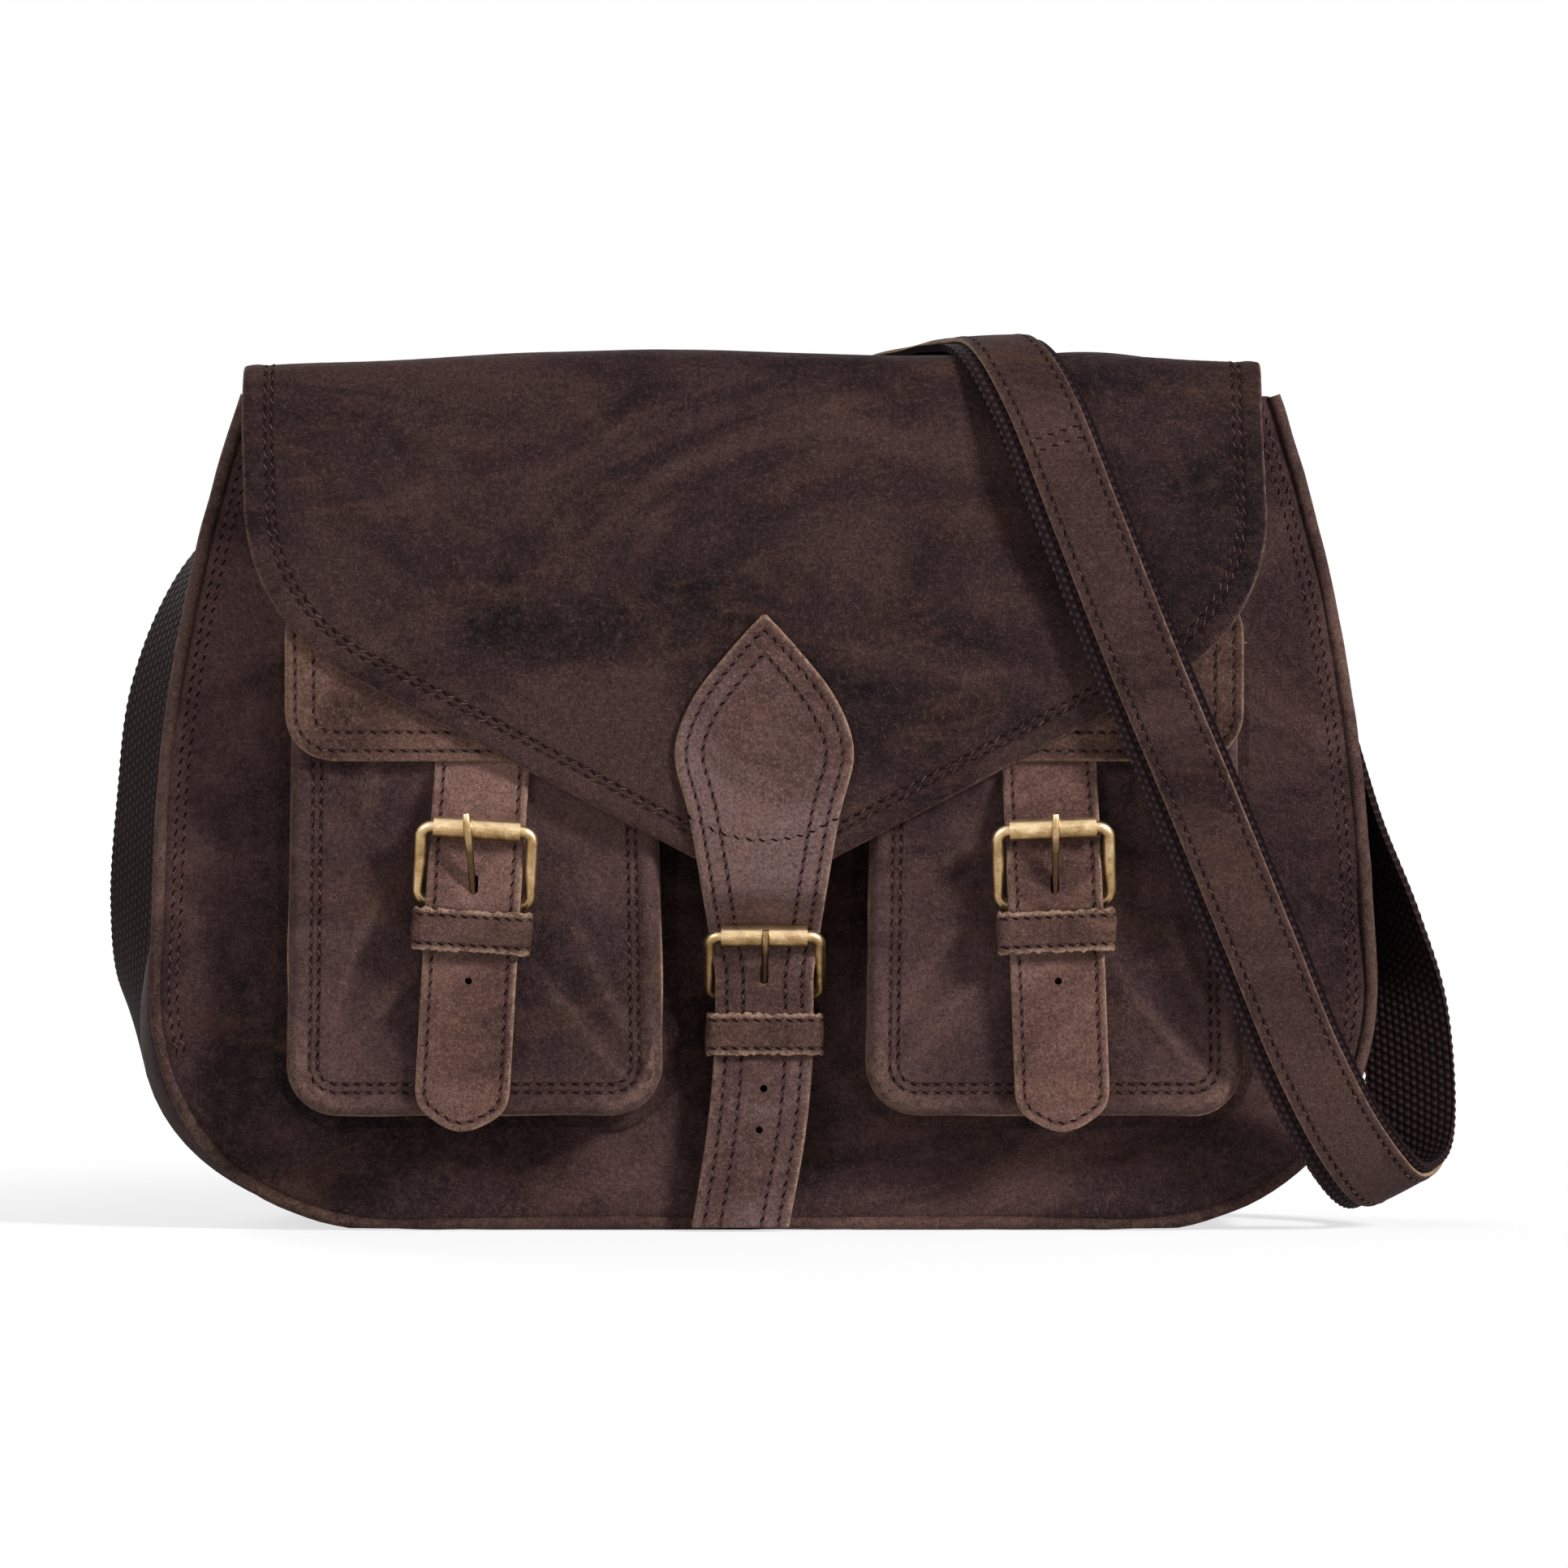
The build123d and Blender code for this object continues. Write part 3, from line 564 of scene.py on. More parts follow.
def punch(piece, cutters):
    # takes holes and slots out of flat leather; cutters are (x, y, radius, length)
    tools = []
    for x, y, radius, length in cutters:
        bpy.ops.mesh.primitive_cylinder_add(vertices=24, radius=radius, depth=12, location=(x, y, 0))
        tools.append(bpy.context.object)
        if length:
            places = readVertices(tools[-1])
            places[:, 1] += np.sign(places[:, 1]) * (np.abs(places[:, 1]) > 0.01) * (length / 2 - radius)
            writeVertices(tools[-1], places)
    tool = joined(*tools)
    tool.data.materials.append(piece.data.materials[1])
    applyModifier(piece, "BOOLEAN", object=tool, operation="DIFFERENCE", solver="MANIFOLD")
    bpy.data.objects.remove(tool)


def drape(piece, course, outline=None, wave=None, turn=None, place=(0, 0, 0), edgeForm=None, sway=None,
          wornAt=None):
    # the flat piece takes its form along a course, and keeps its flat places as its pattern
    flat = readVertices(piece)
    x, y = flat[:, 0], flat[:, 1]
    rim = np.full(len(flat), farFromEdge) if outline is None else distanceTo(flat[:, :2], outline)
    storePattern(piece, flat, rim, wornAt and wornAt(x, y, rim))
    moved = flat.copy()
    if wave is not None:
        moved[:, 2] += wave(x, y)
    if edgeForm is not None:
        moved[:, 2] += edgeForm(rim)
    if sway is not None:
        moved[:, 0] += sway(x, y)
    formed = course.lay(moved)
    if turn is not None:
        formed = turned(formed, turn)
    writeVertices(piece, (formed + np.array(place)) * mm)
    closeNormals(piece)


def closeNormals(piece):
    selectOnly(piece)
    editing((bpy.ops.mesh.normals_make_consistent, {"inside": False}))
    bpy.ops.object.shade_smooth_by_angle(angle=math.radians(50))


def rawRim(width, amount):
    # the face is rubbed pale along a cut edge
    return lambda x, y, rim: np.clip(1 - rim / width, 0, 1) * amount


def turnedEdge(roll, puff, seam):
    # the edge rolls away over a radius and stands a little proud between the fold and its seam
    def form(rim):
        inside = np.clip(roll - rim, 0, roll)
        fall = roll - np.sqrt(np.clip(roll**2 - inside**2, 0, None))
        swell = np.sin(np.pi * np.clip(rim / seam, 0, 1)) * puff
        valley = np.exp(-((rim - seam - 0.6) / 1.1) ** 2) * puff * 0.35
        return swell - fall - valley
    return form


# one stitch is modelled, then repeated along each seam while the leather is flat
# the dark slanted pull of thread, painted as dark as the shade in its stitch hole, is (length, width, height,
# slant)
# and the pale fibre after it is (width, height, slant)
stitchSettings = {"dash": (2.3, 0.74, 0.46, 24.0), "bridge": (0.32, 0.58, -24.0), "spacing": 1.2}


def modelStitch(name, pitch):
    length, width, height, slant = stitchSettings["dash"]
    thin, tall, back = stitchSettings["bridge"]
    parts = []
    for size, angle, middle, paint in (((length, width, height), slant, length / 2, "thread"),
                                       ((pitch - 0.7 * length, thin, tall), back, (length + pitch) / 2,
                                        "fibre")):
        bpy.ops.mesh.primitive_uv_sphere_add(segments=6, ring_count=4, radius=0.5,
                                             rotation=(0, math.pi / 2, 0))
        bpy.ops.object.transform_apply(location=False, rotation=True, scale=False)
        editing((bpy.ops.transform.resize, {"value": size}),
                (bpy.ops.transform.rotate,
                 {"value": math.radians(angle), "orient_axis": "Z", "center_override": (0, 0, 0)}),
                (bpy.ops.transform.translate, {"value": (middle, 0, 0)}))
        parts.append(bpy.context.object)
        parts[-1].data.materials.append(paints[paint])
    stitch = joined(*reversed(parts))
    stitch.name = name
    return stitch


def sew(name, seams, height, pitch=3.5):
    # seams are flat lines (x, y); the rows are joined into one piece of thread
    rows = []
    for index, seam in enumerate(seams):
        seam = evenly(seam, stitchSettings["spacing"])
        length = marksOf(seam)[-1]
        guide = lineThrough(name + "Line", [(x, y, height) for x, y in seam])
        row = modelStitch(name + str(index), pitch)
        count = max(1, int(length / pitch))
        applyModifier(row, "ARRAY", count=count, use_relative_offset=False, use_constant_offset=True,
                      constant_offset_displace=(length / count, 0, 0))
        applyModifier(row, "CURVE", object=guide, deform_axis="POS_X")
        bpy.data.objects.remove(guide)
        rows.append(row)
    thread = joined(*rows)
    thread.name = name
    return thread


def offsetLine(line, distance):
    # a line moved to its left by distance, with the loops at tight corners taken out
    line = evenly(line, 1.0)
    along = np.gradient(line, axis=0)
    along /= np.linalg.norm(along, axis=1)[:, None]
    moved = line + np.column_stack([-along[:, 1], along[:, 0]]) * distance
    return moved[distanceTo(moved, line) > abs(distance) * 0.985]


def mirrorJoin(right):
    # the whole outline from its right half, given from the bottom middle up
    right = np.array(right, float)
    return np.concatenate([(right * (-1, 1))[::-1], right[1:] if abs(right[0, 0]) < 1e-6 else right])


def ripple(seed, size, amount):
    # slow unevenness of hand-worked leather
    def wave(x, y):
        places = [Vector((a / size + seed, b / size, seed * 1.7)) for a, b in zip(x, y)]
        return np.array([noise.noise(place) for place in places]) * amount
    return wave


def folds(*creases):
    # each crease runs between two flat points, a ridge with a dip beside it: (x, y, x, y, width, height)
    def wave(x, y):
        total = np.zeros(len(x))
        for ax, ay, bx, by, width, height in creases:
            run = np.array([bx - ax, by - ay])
            length = np.hypot(*run)
            share = np.clip(((x - ax) * run[0] + (y - ay) * run[1]) / (run @ run), 0, 1)
            bend = np.sin(share * math.pi) * width * 0.8
            offX, offY = x - ax - run[0] * share + bend * run[1] / length, y - ay - run[1] * share
            away = np.hypot(offX, offY) / width
            side = (offX * run[1] - offY * run[0]) / (length * width)
            shape = np.exp(-(away**2)) - 0.55 * np.exp(-(((side - 1.9) / 1.1) ** 2 + (away / 4) ** 4))
            total += height * shape * (0.25 + 0.75 * np.sin(np.clip(share, 0.05, 0.95) * math.pi))
        return total
    return wave


def together(*waves):
    return lambda x, y: sum(w(x, y) for w in waves)


def settle(piece, body, slot, *nodes):
    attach(piece, body)
    if nodes:
        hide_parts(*nodes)


def formPair(pieces, body, slot, nodes, *course, **forms):
    # the leather and its thread take one form, and the leather takes the place of the nodes
    for piece, own in zip(pieces, (nodes, ())):
        drape(piece, *course, **forms)
        settle(piece, body, slot, *own)


bodySettings = {
    "baseHalf": 100.0, "corner": 78.0, "sideRadius": 524.0, "height": 244.0, "cornerSteps": 30,
    "sideSteps": 40,
    # panels
    "panelDepth": 44.0, "panelInset": 2.8, "panelThickness": 2.0, "panelColumns": 64, "panelRowGap": 5.0,
    "seams": (6.4, 8.8), "seamEnd": 52.0, "rimDrop": 0.9,
    # piping
    "pipingInset": 2.0, "pipingDepth": 43.8, "pipingRadius": 2.1,
    # the filled bag: its lower corners left and right, and its left side
    "cornerAt": (152.0, 30.0), "swell": (6.0, 5.5), "reach": 44.0, "leftOut": 2.6,
    # gusset, pulled in at the mouth and full low down, more so on the left and towards the front
    "gussetHalf": 41.8, "gussetInset": 1.0, "pinch": 18.0, "fullAt": 46.0, "fullReach": 50.0,
    "fullness": (7.5, 2.0),
    "forward": -0.45}


def bodyEdge(inset, top=bodySettings["height"]):
    # right half of the saddle outline, from the middle of the base up
    s = bodySettings
    corner, side = s["corner"] - inset, s["sideRadius"] - inset
    centre = s["sideRadius"] - s["baseHalf"] - s["corner"]
    points = [(0, inset), (s["baseHalf"], inset)]
    for part in range(1, s["cornerSteps"] + 1):
        angle = math.pi / 2 * part / s["cornerSteps"]
        points.append((s["baseHalf"] + corner * math.sin(angle), s["corner"] - corner * math.cos(angle)))
    for part in range(1, s["sideSteps"] + 1):
        up = (top - s["corner"]) * part / s["sideSteps"]
        points.append((math.sqrt(side**2 - up**2) - centre, s["corner"] + up))
    return np.array(points)


def pinchAt(height):
    # how far the gusset is pulled in at a height
    s = bodySettings
    return s["pinch"] * (np.clip(height - s["corner"], 0, None) / (s["height"] - s["corner"])) ** 1.5


def smoothed(value):
    return value * value * (3 - 2 * value)


def sag(piece):
    # the filled bag stands out at its lower corners, and a little all up its left side
    s = bodySettings
    places = readVertices(piece) / mm
    x, z = places[:, 0].copy(), places[:, 2].copy()
    near = np.exp(-(((np.abs(x) - s["cornerAt"][0]) ** 2 + (z - s["cornerAt"][1]) ** 2) / s["reach"] ** 2))
    amount = np.where(x < 0, *s["swell"]) * near
    out = np.column_stack([np.clip(np.abs(x) - s["baseHalf"], 0, None), np.minimum(z - s["corner"], 0)])
    out /= np.maximum(np.linalg.norm(out, axis=1), 1e-6)[:, None]
    left = np.clip((-x - 90) / 60, 0, 1) * np.clip((z - 60) / 80, 0.35, 1)
    places[:, 0] += np.sign(x) * out[:, 0] * amount - s["leftOut"] * left
    places[:, 2] = np.clip(z + out[:, 1] * amount, np.clip(z, 0, 0.4), None)
    writeVertices(piece, places * mm)


def makePanel(name, facing, node, seed):
    s = bodySettings
    edge = bodyEdge(s["panelInset"])[1:]
    edge[1:, 1] += 1e-6
    rows = rowsBetween(edge, gap=s["panelRowGap"])
    panel = cutLeather(name, rows, s["panelColumns"], s["panelThickness"], "body", "bodyEdge")
    depth = -facing * s["panelDepth"]
    course = Course([(0, depth, 0), (0, depth, s["height"])], across=(facing, 0, 0))
    wave = together(ripple(seed, 60.0, 1.4), ripple(seed + 4, 22.0, 0.5))
    seams = []
    for inset in s["seams"]:
        side = bodyEdge(inset, s["height"] - 2)
        side = side[side[:, 1] > s["seamEnd"]]
        seams += [side * (-1, 1), side]
    thread = sew(name + "Stitches", seams, s["panelThickness"] / 2 - 0.05)

    def edgeForm(rim):
        return -s["rimDrop"] * (np.clip(6.5 - rim, 0, 4) / 3.5) ** 2

    for piece, nodes in ((panel, [node]), (thread, [])):
        drape(piece, course, mirrorJoin(bodyEdge(0)), wave, edgeForm=edgeForm)
        sag(piece)
        settle(piece, "root", "body_leather", *nodes)


def makePiping(name, side, node):
    # leather cord folded round the seam
    s = bodySettings
    outline = evenly(mirrorJoin(bodyEdge(s["pipingInset"])), 4.0)
    places = [(x * mm, side * s["pipingDepth"] * mm, z * mm) for x, z in outline]
    cord = lineThrough(name, places, bevel_depth=s["pipingRadius"] * mm, bevel_resolution=3,
                       use_fill_caps=True)
    pipe = asMesh(cord)
    places = readVertices(pipe) / mm
    bumps = np.array([noise.noise_vector(Vector(p) / 9.0) for p in places]) * 0.22
    rubbed = np.array([noise.noise(Vector(p) / 26.0) for p in places]) * 0.5 + 0.25
    storePattern(pipe, places, None, np.clip(rubbed, 0, 0.8))
    writeVertices(pipe, (places + bumps) * mm)
    sag(pipe)
    bpy.ops.object.shade_smooth()
    pipe.data.materials.append(paints["piping"])
    settle(pipe, "root", "piping_leather", node)


def cutBand(name, course, near, far, *cut):
    # a band across a course, with a row at each of the course's points, and its flat places
    band = cutLeather(name, [((near, row), (far, row)) for row in range(len(course.marks))], *cut)
    flat = readVertices(band)
    flat[:, 1] = np.interp(flat[:, 1], np.arange(len(course.marks)), course.marks)
    return band, flat


def makeGusset():
    # one band round the sides and the base
    s = bodySettings
    edge = evenly(mirrorJoin(bodyEdge(s["gussetInset"])), 5.0)
    half = s["gussetHalf"]
    course = Course(np.column_stack([edge[:, 0], np.zeros(len(edge)), edge[:, 1]]), across=(0, 1, 0))
    gusset, flat = cutBand("gusset", course, -half, half, 14, 2.0, "plain", "bodyEdge", 2.0)
    writeVertices(gusset, flat)

    def wave(x, y):
        height = np.interp(y, course.marks, edge[:, 1])
        shape = 1 - (x / half) ** 2
        low = smoothed(np.clip(1 - np.abs(height - s["fullAt"]) / s["fullReach"], 0, 1))
        amount = np.where(y < course.length / 2, *s["fullness"])
        return low * shape * (1 + s["forward"] * x / half) * amount - pinchAt(height) * shape

    drape(gusset, course, None, together(wave, ripple(9.0, 40.0, 0.8)))
    sag(gusset)
    settle(gusset, "root", "body_leather", "gusset_bottom", "gusset_left", "gusset_right")


# a cloth pouch in the same form, 0 to 4 once round it: front, right side, back, left side
liningSettings = {"halfDepth": 41.4, "inset": 2.7, "top": 240.0, "low": (2.7, 3.4, 5.0, 8.0),
                  "rest": (12.0, 36),
                  "around": 120, "corners": (0.0, 1.6, 2.0, 3.6, 4.0), "thickness": 0.8}


def makeLining():
    s = liningSettings
    edge = bodyEdge(s["inset"], s["top"])[1:]
    levels = np.concatenate([s["low"], np.linspace(s["rest"][0], s["top"], s["rest"][1])])
    bpy.ops.mesh.primitive_grid_add(x_subdivisions=s["around"], y_subdivisions=len(levels) - 1, size=2)
    lining = bpy.context.object
    lining.name = "lining"
    grid = readVertices(lining)
    height = levels[np.rint((grid[:, 1] + 1) / 2 * (len(levels) - 1)).astype(int)]
    turn = (grid[:, 0] + 1) * 2 % 4
    aside = np.interp(turn, s["corners"], (-1, 1, 1, -1, -1))
    deep = np.interp(turn, s["corners"], (-1, -1, 1, 1, -1))
    wide = np.interp(height, rising(edge[:, 1]), edge[:, 0])
    x = aside * wide - np.sign(aside) * pinchAt(height) * (1 - deep**2)
    writeVertices(lining, np.column_stack([x, deep * s["halfDepth"], height]) * mm)
    editing((bpy.ops.mesh.remove_doubles, {"threshold": 0.00005}),
            (bpy.ops.mesh.select_all, {"action": "DESELECT"}))
    for edgeOf in lining.data.edges:
        edgeOf.select = all(lining.data.vertices[v].co.z < (s["inset"] + 0.1) * mm for v in edgeOf.vertices)
    bpy.ops.object.mode_set(mode="EDIT")
    bpy.ops.mesh.select_mode(type="EDGE")
    bpy.ops.mesh.edge_face_add()
    editing((bpy.ops.mesh.normals_make_consistent, {"inside": True}))
    applyModifier(lining, "SOLIDIFY", thickness=s["thickness"] * mm, offset=0)
    bpy.ops.object.shade_smooth_by_angle(angle=math.radians(50))
    storePattern(lining, readVertices(lining) / mm)
    lining.data.materials.append(paints["lining"])
    settle(lining, "root", "lining_cloth", "lining")


# leather turned over the top edge of the front panel
hemSettings = {"half": 145.0, "front": -45.8, "back": -40.2, "low": 229.0, "high": 244.8, "thickness": 1.2}


def makeHem():
    s = hemSettings
    front, back, low, high, half = s["front"], s["back"], s["low"], s["high"], s["half"]
    course = sideView([(front, low), (front, high), (back, high), (back, low)], [1.0, 1.0])
    rows = levelLines(half, np.linspace(0, course.length, 30))
    hem = cutLeather("frontTopHem", rows, 50, s["thickness"], "plain", "bodyEdge")
    outline = np.array([(-half, 0), (half, 0)])
    drape(hem, course, outline, ripple(2.0, 50.0, 0.25))
    thread = sew("hemStitches", levelLines(half - 2, [3.0]), s["thickness"] / 2 - 0.05)
    drape(thread, course, outline)
    settle(hem, "root", "body_leather", "front_top_hem")
    settle(thread, "root", "body_leather")


makePanel("frontPanel", 1, "front_panel", 1.0)
makePanel("backPanel", -1, "back_panel", 6.0)
makePiping("frontPiping", -1, "front_piping")
makePiping("backPiping", 1, "back_piping")
makeGusset()
makeLining()
makeHem()
print("body sewn")


flapSettings = {
    "halfWidth": 147.5, "thickness": 2.2, "tip": 98.05, "shoulder": 176.48, "cornerRadius": 56.0,
    "tipRadius": 35.0,
    "corners": [(-67.27, 98.05), (-73.2, 122.0), (-73.2, 182.0), (-57.0, 243.1), (-51.0, 253.1),
                (46.3, 253.1), (46.3, 221.7)],
    "radii": [60, 60, 30, 8, 3.5], "front": 0.62, "frontTop": 235.0, "top": 252.5,
    # the crown stands up over the bag: how far, how much is lost at the left and right ends, where, how wide
    "crown": 3.6, "ends": (6.6, 4.6), "crownAt": 30.0, "crownReach": 75.0,
    "seams": (6.6, 8.6), "sewn": (3.2, 6.0), "narrower": 2.0, "aside": (2.7, 1.9),
    "rimColumns": (140.5, 142.6, 144.3, 145.6, 146.5, 147.1),
    "hinge": ((0, 0.0463, 0.2460), (0, 0.0423, 0.2470))}


def makeFlap():
    s = flapSettings
    half = s["halfWidth"]
    course = sideView(s["corners"], s["radii"])
    front = int(len(course.points) * s["front"])
    edge = roundedLine([(-half, s["shoulder"]), (0, s["tip"]), (half, s["shoulder"]), (half, 260)],
                       [s["tipRadius"], s["cornerRadius"]], 1.0)
    edge = edge[(edge[:, 0] >= 0) & (edge[:, 1] < s["frontTop"])]
    edge[:, 1] = course.markAtHeight(edge[:, 1], front)
    edge[0, 0] = 0.0
    columns = np.concatenate([np.linspace(0, 138, 40), s["rimColumns"], [half]])
    columns = np.concatenate([-columns[:0:-1], columns])
    order = edge[np.argsort(edge[:, 0], kind="stable")]
    low = np.interp(np.abs(columns), rising(np.maximum.accumulate(order[:, 0]), 1e-7), order[:, 1])
    lines = [((x, y), (x, course.length)) for x, y in zip(columns, low)]
    flap = cutLeather("mainFlap", lines, 60, s["thickness"], "flap", "bodyEdge")
    outline = mirrorJoin(np.concatenate([edge, [(half, course.length)]]))
    crownAt = course.markAtHeight([s["top"]], front)[0] + s["crownAt"]

    def crown(x, y):
        near = smoothed(np.clip(1 - np.abs(y - crownAt) / s["crownReach"], 0, 1))
        left, right = s["ends"]
        return near * (s["crown"] - np.where(x < 0, left * np.abs(x / half) ** 3, right * (x / half) ** 2))

    creases = folds((118, 208, 141, 206, 1.6, -0.5), (70, 150, 120, 176, 4.0, 0.7),
                    (-120, 190, -60, 214, 5.0, 0.6))
    wave = together(crown, ripple(3.0, 70.0, 1.4), ripple(5.0, 26.0, 0.5), creases)
    seams = [offsetLine(outline, inset) for inset in s["seams"]]
    seams = [seam[seam[:, 1] < course.length - 8] for seam in seams]
    seams += levelLines(half - 3, [course.length - up for up in s["sewn"]])
    thread = sew("mainFlapStitches", seams, s["thickness"] / 2 - 0.05, 4.0)

    def sway(x, y):
        # the flap sits a little to the left of the strip that is sewn to the back
        more, fuller = s["aside"]
        aside = (more + fuller * np.clip(-x / half, 0, 1)) * np.clip((y - 50) / 90, 0, 1)
        sewn = np.clip((y - course.length + 45) / 25, 0, 1)
        return -aside * (1 - sewn) - s["narrower"] * sewn * x / half

    for piece, nodes in ((flap, ("main_flap", "flap_sewn_strip")), (thread, ())):
        closed = np.vstack([outline, outline[:1]])
        drape(piece, course, closed, wave, edgeForm=turnedEdge(0.9, 0.4, 6.4), sway=sway)
        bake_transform(piece)
        if nodes:
            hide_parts(*nodes)


makeFlap()
print("main flap laid")


pocketSettings = {
    "offset": 84.0, "halfTop": 53.0, "halfBottom": 55.0, "bottom": 34.0, "top": 172.0, "corner": 15.0,
    "face": -67.0, "thickness": 2.0, "roll": 4.6, "seams": (7.0, 9.4),
    "rubbed": (46.0, 44.0, 24.0), "deep": 17.4, "middle": -54.7, "flange": 4.2, "turnOut": (0.92, 0.90),
    "flapCorners": [(-70.9, 136.9), (-70.9, 175.5), (-52.1, 180.0), (-46.1, 180.0)], "flapRadii": [4, 10],
    "flapHalf": 54.6, "flapCorner": 14.0, "flapThickness": 1.8, "flapSeams": (3.0, 8.4)}
pocketFolds = {
    "left": [(-44, 44, -17, 76, 2.3, 2.0), (-42, 60, -30, 92, 1.9, 1.2), (44, 44, 18, 76, 2.3, 1.9),
             (45, 58, 30, 88, 1.9, 1.3), (51, 50, 43, 38, 1.5, 1.0), (-51, 50, -43, 38, 1.5, 0.8),
             (-30, 118, -24, 150, 2.8, 1.0)],
    "right": [(-44, 46, -22, 74, 2.2, 1.8), (-46, 62, -30, 86, 1.9, 1.2), (44, 46, 20, 72, 2.3, 1.7),
              (46, 64, 34, 90, 2.0, 1.2), (-38, 104, -18, 112, 2.6, 0.9), (-51, 52, -43, 39, 1.5, 0.9),
              (26, 120, 36, 150, 2.8, 1.0)]}


def pocketEdge(inset):
    # right half of a pocket's outline, from the middle of its bottom up
    s = pocketSettings
    lean = (s["halfBottom"] - s["halfTop"]) / (s["top"] - s["bottom"])
    low = s["bottom"] + inset
    corners = [(0, low), (s["halfBottom"] - inset - lean * inset, low), (s["halfTop"] - inset, s["top"])]
    return roundedLine(corners, [s["corner"] - inset], 0.8)


def pocketFront(side, place, seed):
    s = pocketSettings
    edge = pocketEdge(0.2)[1:]
    edge[:, 1] = rising(edge[:, 1])
    rows = rowsBetween(edge, gap=2.6, first=0.9)
    face = cutLeather(side + "PocketFront", rows, 52, s["thickness"], "pocket", "bodyEdge", 1.1)
    depth = s["face"] + s["thickness"] / 2
    course = Course([(0, depth, 0), (0, depth, 180)], across=(1, 0, 0))
    creases = folds(*pocketFolds[side])
    wave = together(ripple(seed, 34.0, 1.9), ripple(seed + 3, 11.0, 0.8), creases)
    seams = [mirrorJoin(pocketEdge(inset)) for inset in s["seams"]]
    thread = sew(side + "PocketStitches", seams, s["thickness"] / 2 - 0.05)

    def wornAt(x, z, rim):
        cornerX, cornerZ, reach = s["rubbed"]
        corner = np.clip(1 - np.hypot(np.abs(x) - cornerX, z - cornerZ) / reach, 0, 1)
        # rubbed at the lower corners and along the rim, and paler on the crease ridges, which is partly
        # rubbed wear and partly painted highlight
        return (corner * np.clip(1 - np.abs(rim - 3.5) / 5, 0, 1) + rawRim(4.5, 0.42)(x, z, rim)
                + np.clip(creases(x, z) / 1.6, 0, 0.22))

    formPair((face, thread), "root", "body_leather", [side + "_pocket_front", side + "_pocket_piping"],
             course, mirrorJoin(pocketEdge(0)), wave, place=(place, 0, 0),
             edgeForm=turnedEdge(s["roll"], 0.9, 6.8), wornAt=wornAt)


def pocketGusset(side, place, seed):
    # between the front and the body, its back edge turned out into a narrow flange
    s = pocketSettings
    path = evenly(mirrorJoin(pocketEdge(0.8)), 2.5)
    back = s["deep"] / 2
    course = Course(np.column_stack([path[:, 0], np.full(len(path), s["middle"]), path[:, 1]]),
                    across=(0, 1, 0))
    gusset, flat = cutBand(side + "PocketGusset", course, -back, back + s["flange"], 10, 1.4, "plain",
                           "edge", 1.0)
    over = np.clip(flat[:, 0] - back + 1.0, 0, None)
    out, inward = s["turnOut"]
    flat[:, 2] += over * out
    flat[:, 0] -= over * inward
    writeVertices(gusset, flat)
    drape(gusset, course, None, ripple(seed + 6, 20.0, 0.6), place=(place, 0, 0))
    settle(gusset, "root", "body_leather", side + "_pocket_gusset")


def pocketFlap(side, place, seed):
    s = pocketSettings
    course = sideView(s["flapCorners"], s["flapRadii"])
    half = s["flapHalf"]

    def flapEdge(inset, top):
        corners = [(0, inset), (half - inset, inset), (half - inset, top)]
        return roundedLine(corners, [s["flapCorner"] - inset], 0.8)

    right = flapEdge(0, course.length)
    edge = right[1:].copy()
    edge[:, 1] = rising(edge[:, 1])
    rows = rowsBetween(edge, gap=3.0, first=0.9)
    flap = cutLeather(side + "PocketFlap", rows, 34, s["flapThickness"], "pocketFlap", "edge", 1.1)
    seams = [mirrorJoin(flapEdge(inset, course.length - 1)) for inset in s["flapSeams"]]
    thread = sew(side + "PocketFlapStitches", seams, s["flapThickness"] / 2 - 0.05)
    formPair((flap, thread), side + "_pocket_flap", "strap_leather", [side + "_pocket_flap"],
             course, mirrorJoin(right), ripple(seed + 9, 40.0, 0.4), place=(place, 0, 0),
             edgeForm=turnedEdge(0.6, 0.3, 2.6))


for side, place, seed in (("left", -pocketSettings["offset"], 11.0),
                          ("right", pocketSettings["offset"], 17.0)):
    for make in (pocketFront, pocketGusset, pocketFlap):
        make(side, place, seed)
print("pockets sewn")


# the closing straps are shaped on their front, in (across, height)
closureSettings = {
    "corners": [(-51.8, 1.0), (-52.8, 35.0), (-51.8, 52.0), (-52.2, 65.0), (-58.76, 76.54), (-58.76, 88.04),
                (-70.24, 100.05), (-75.6, 121.71), (-75.6, 182.0)],
    "radii": [20, 20, 8, 8, 4.5, 8, 62.2],
    "head": [(14.3, 75), (21.7, 120.3), (26, 140), (21, 154.7), (9.5, 169.7), (0, 180)],
    "rightTail": [(7.2, 1), (12, 27.9), (14.2, 51.5), (14.3, 75)],
    "leftTail": [(-21.3, 1), (-17, 27.9), (-14.8, 51.5), (-14.3, 75)],
    "thickness": 2.2, "slot": (72.5, 78.6), "holes": [53.6, 41.6, 29.6], "drift": 0.004, "driftBelow": 49.0,
    "seams": (3.4, 8.2), "seamEnd": 1.2,
    "crossing": [(-22.6, 121.5), (-12.0, 116.2), (0.0, 114.4), (12.0, 116.2), (22.6, 121.5)]}


def strapHoles(course, slot, holes):
    # the slot that the prong comes through, and the round holes below it
    low, high = course.markAtHeight(slot)
    cutters = [(0, (low + high) / 2, 1.25, high - low)]
    return cutters + [(x, float(course.markAtHeight([z])[0]), 1.1, 0) for x, z in holes]


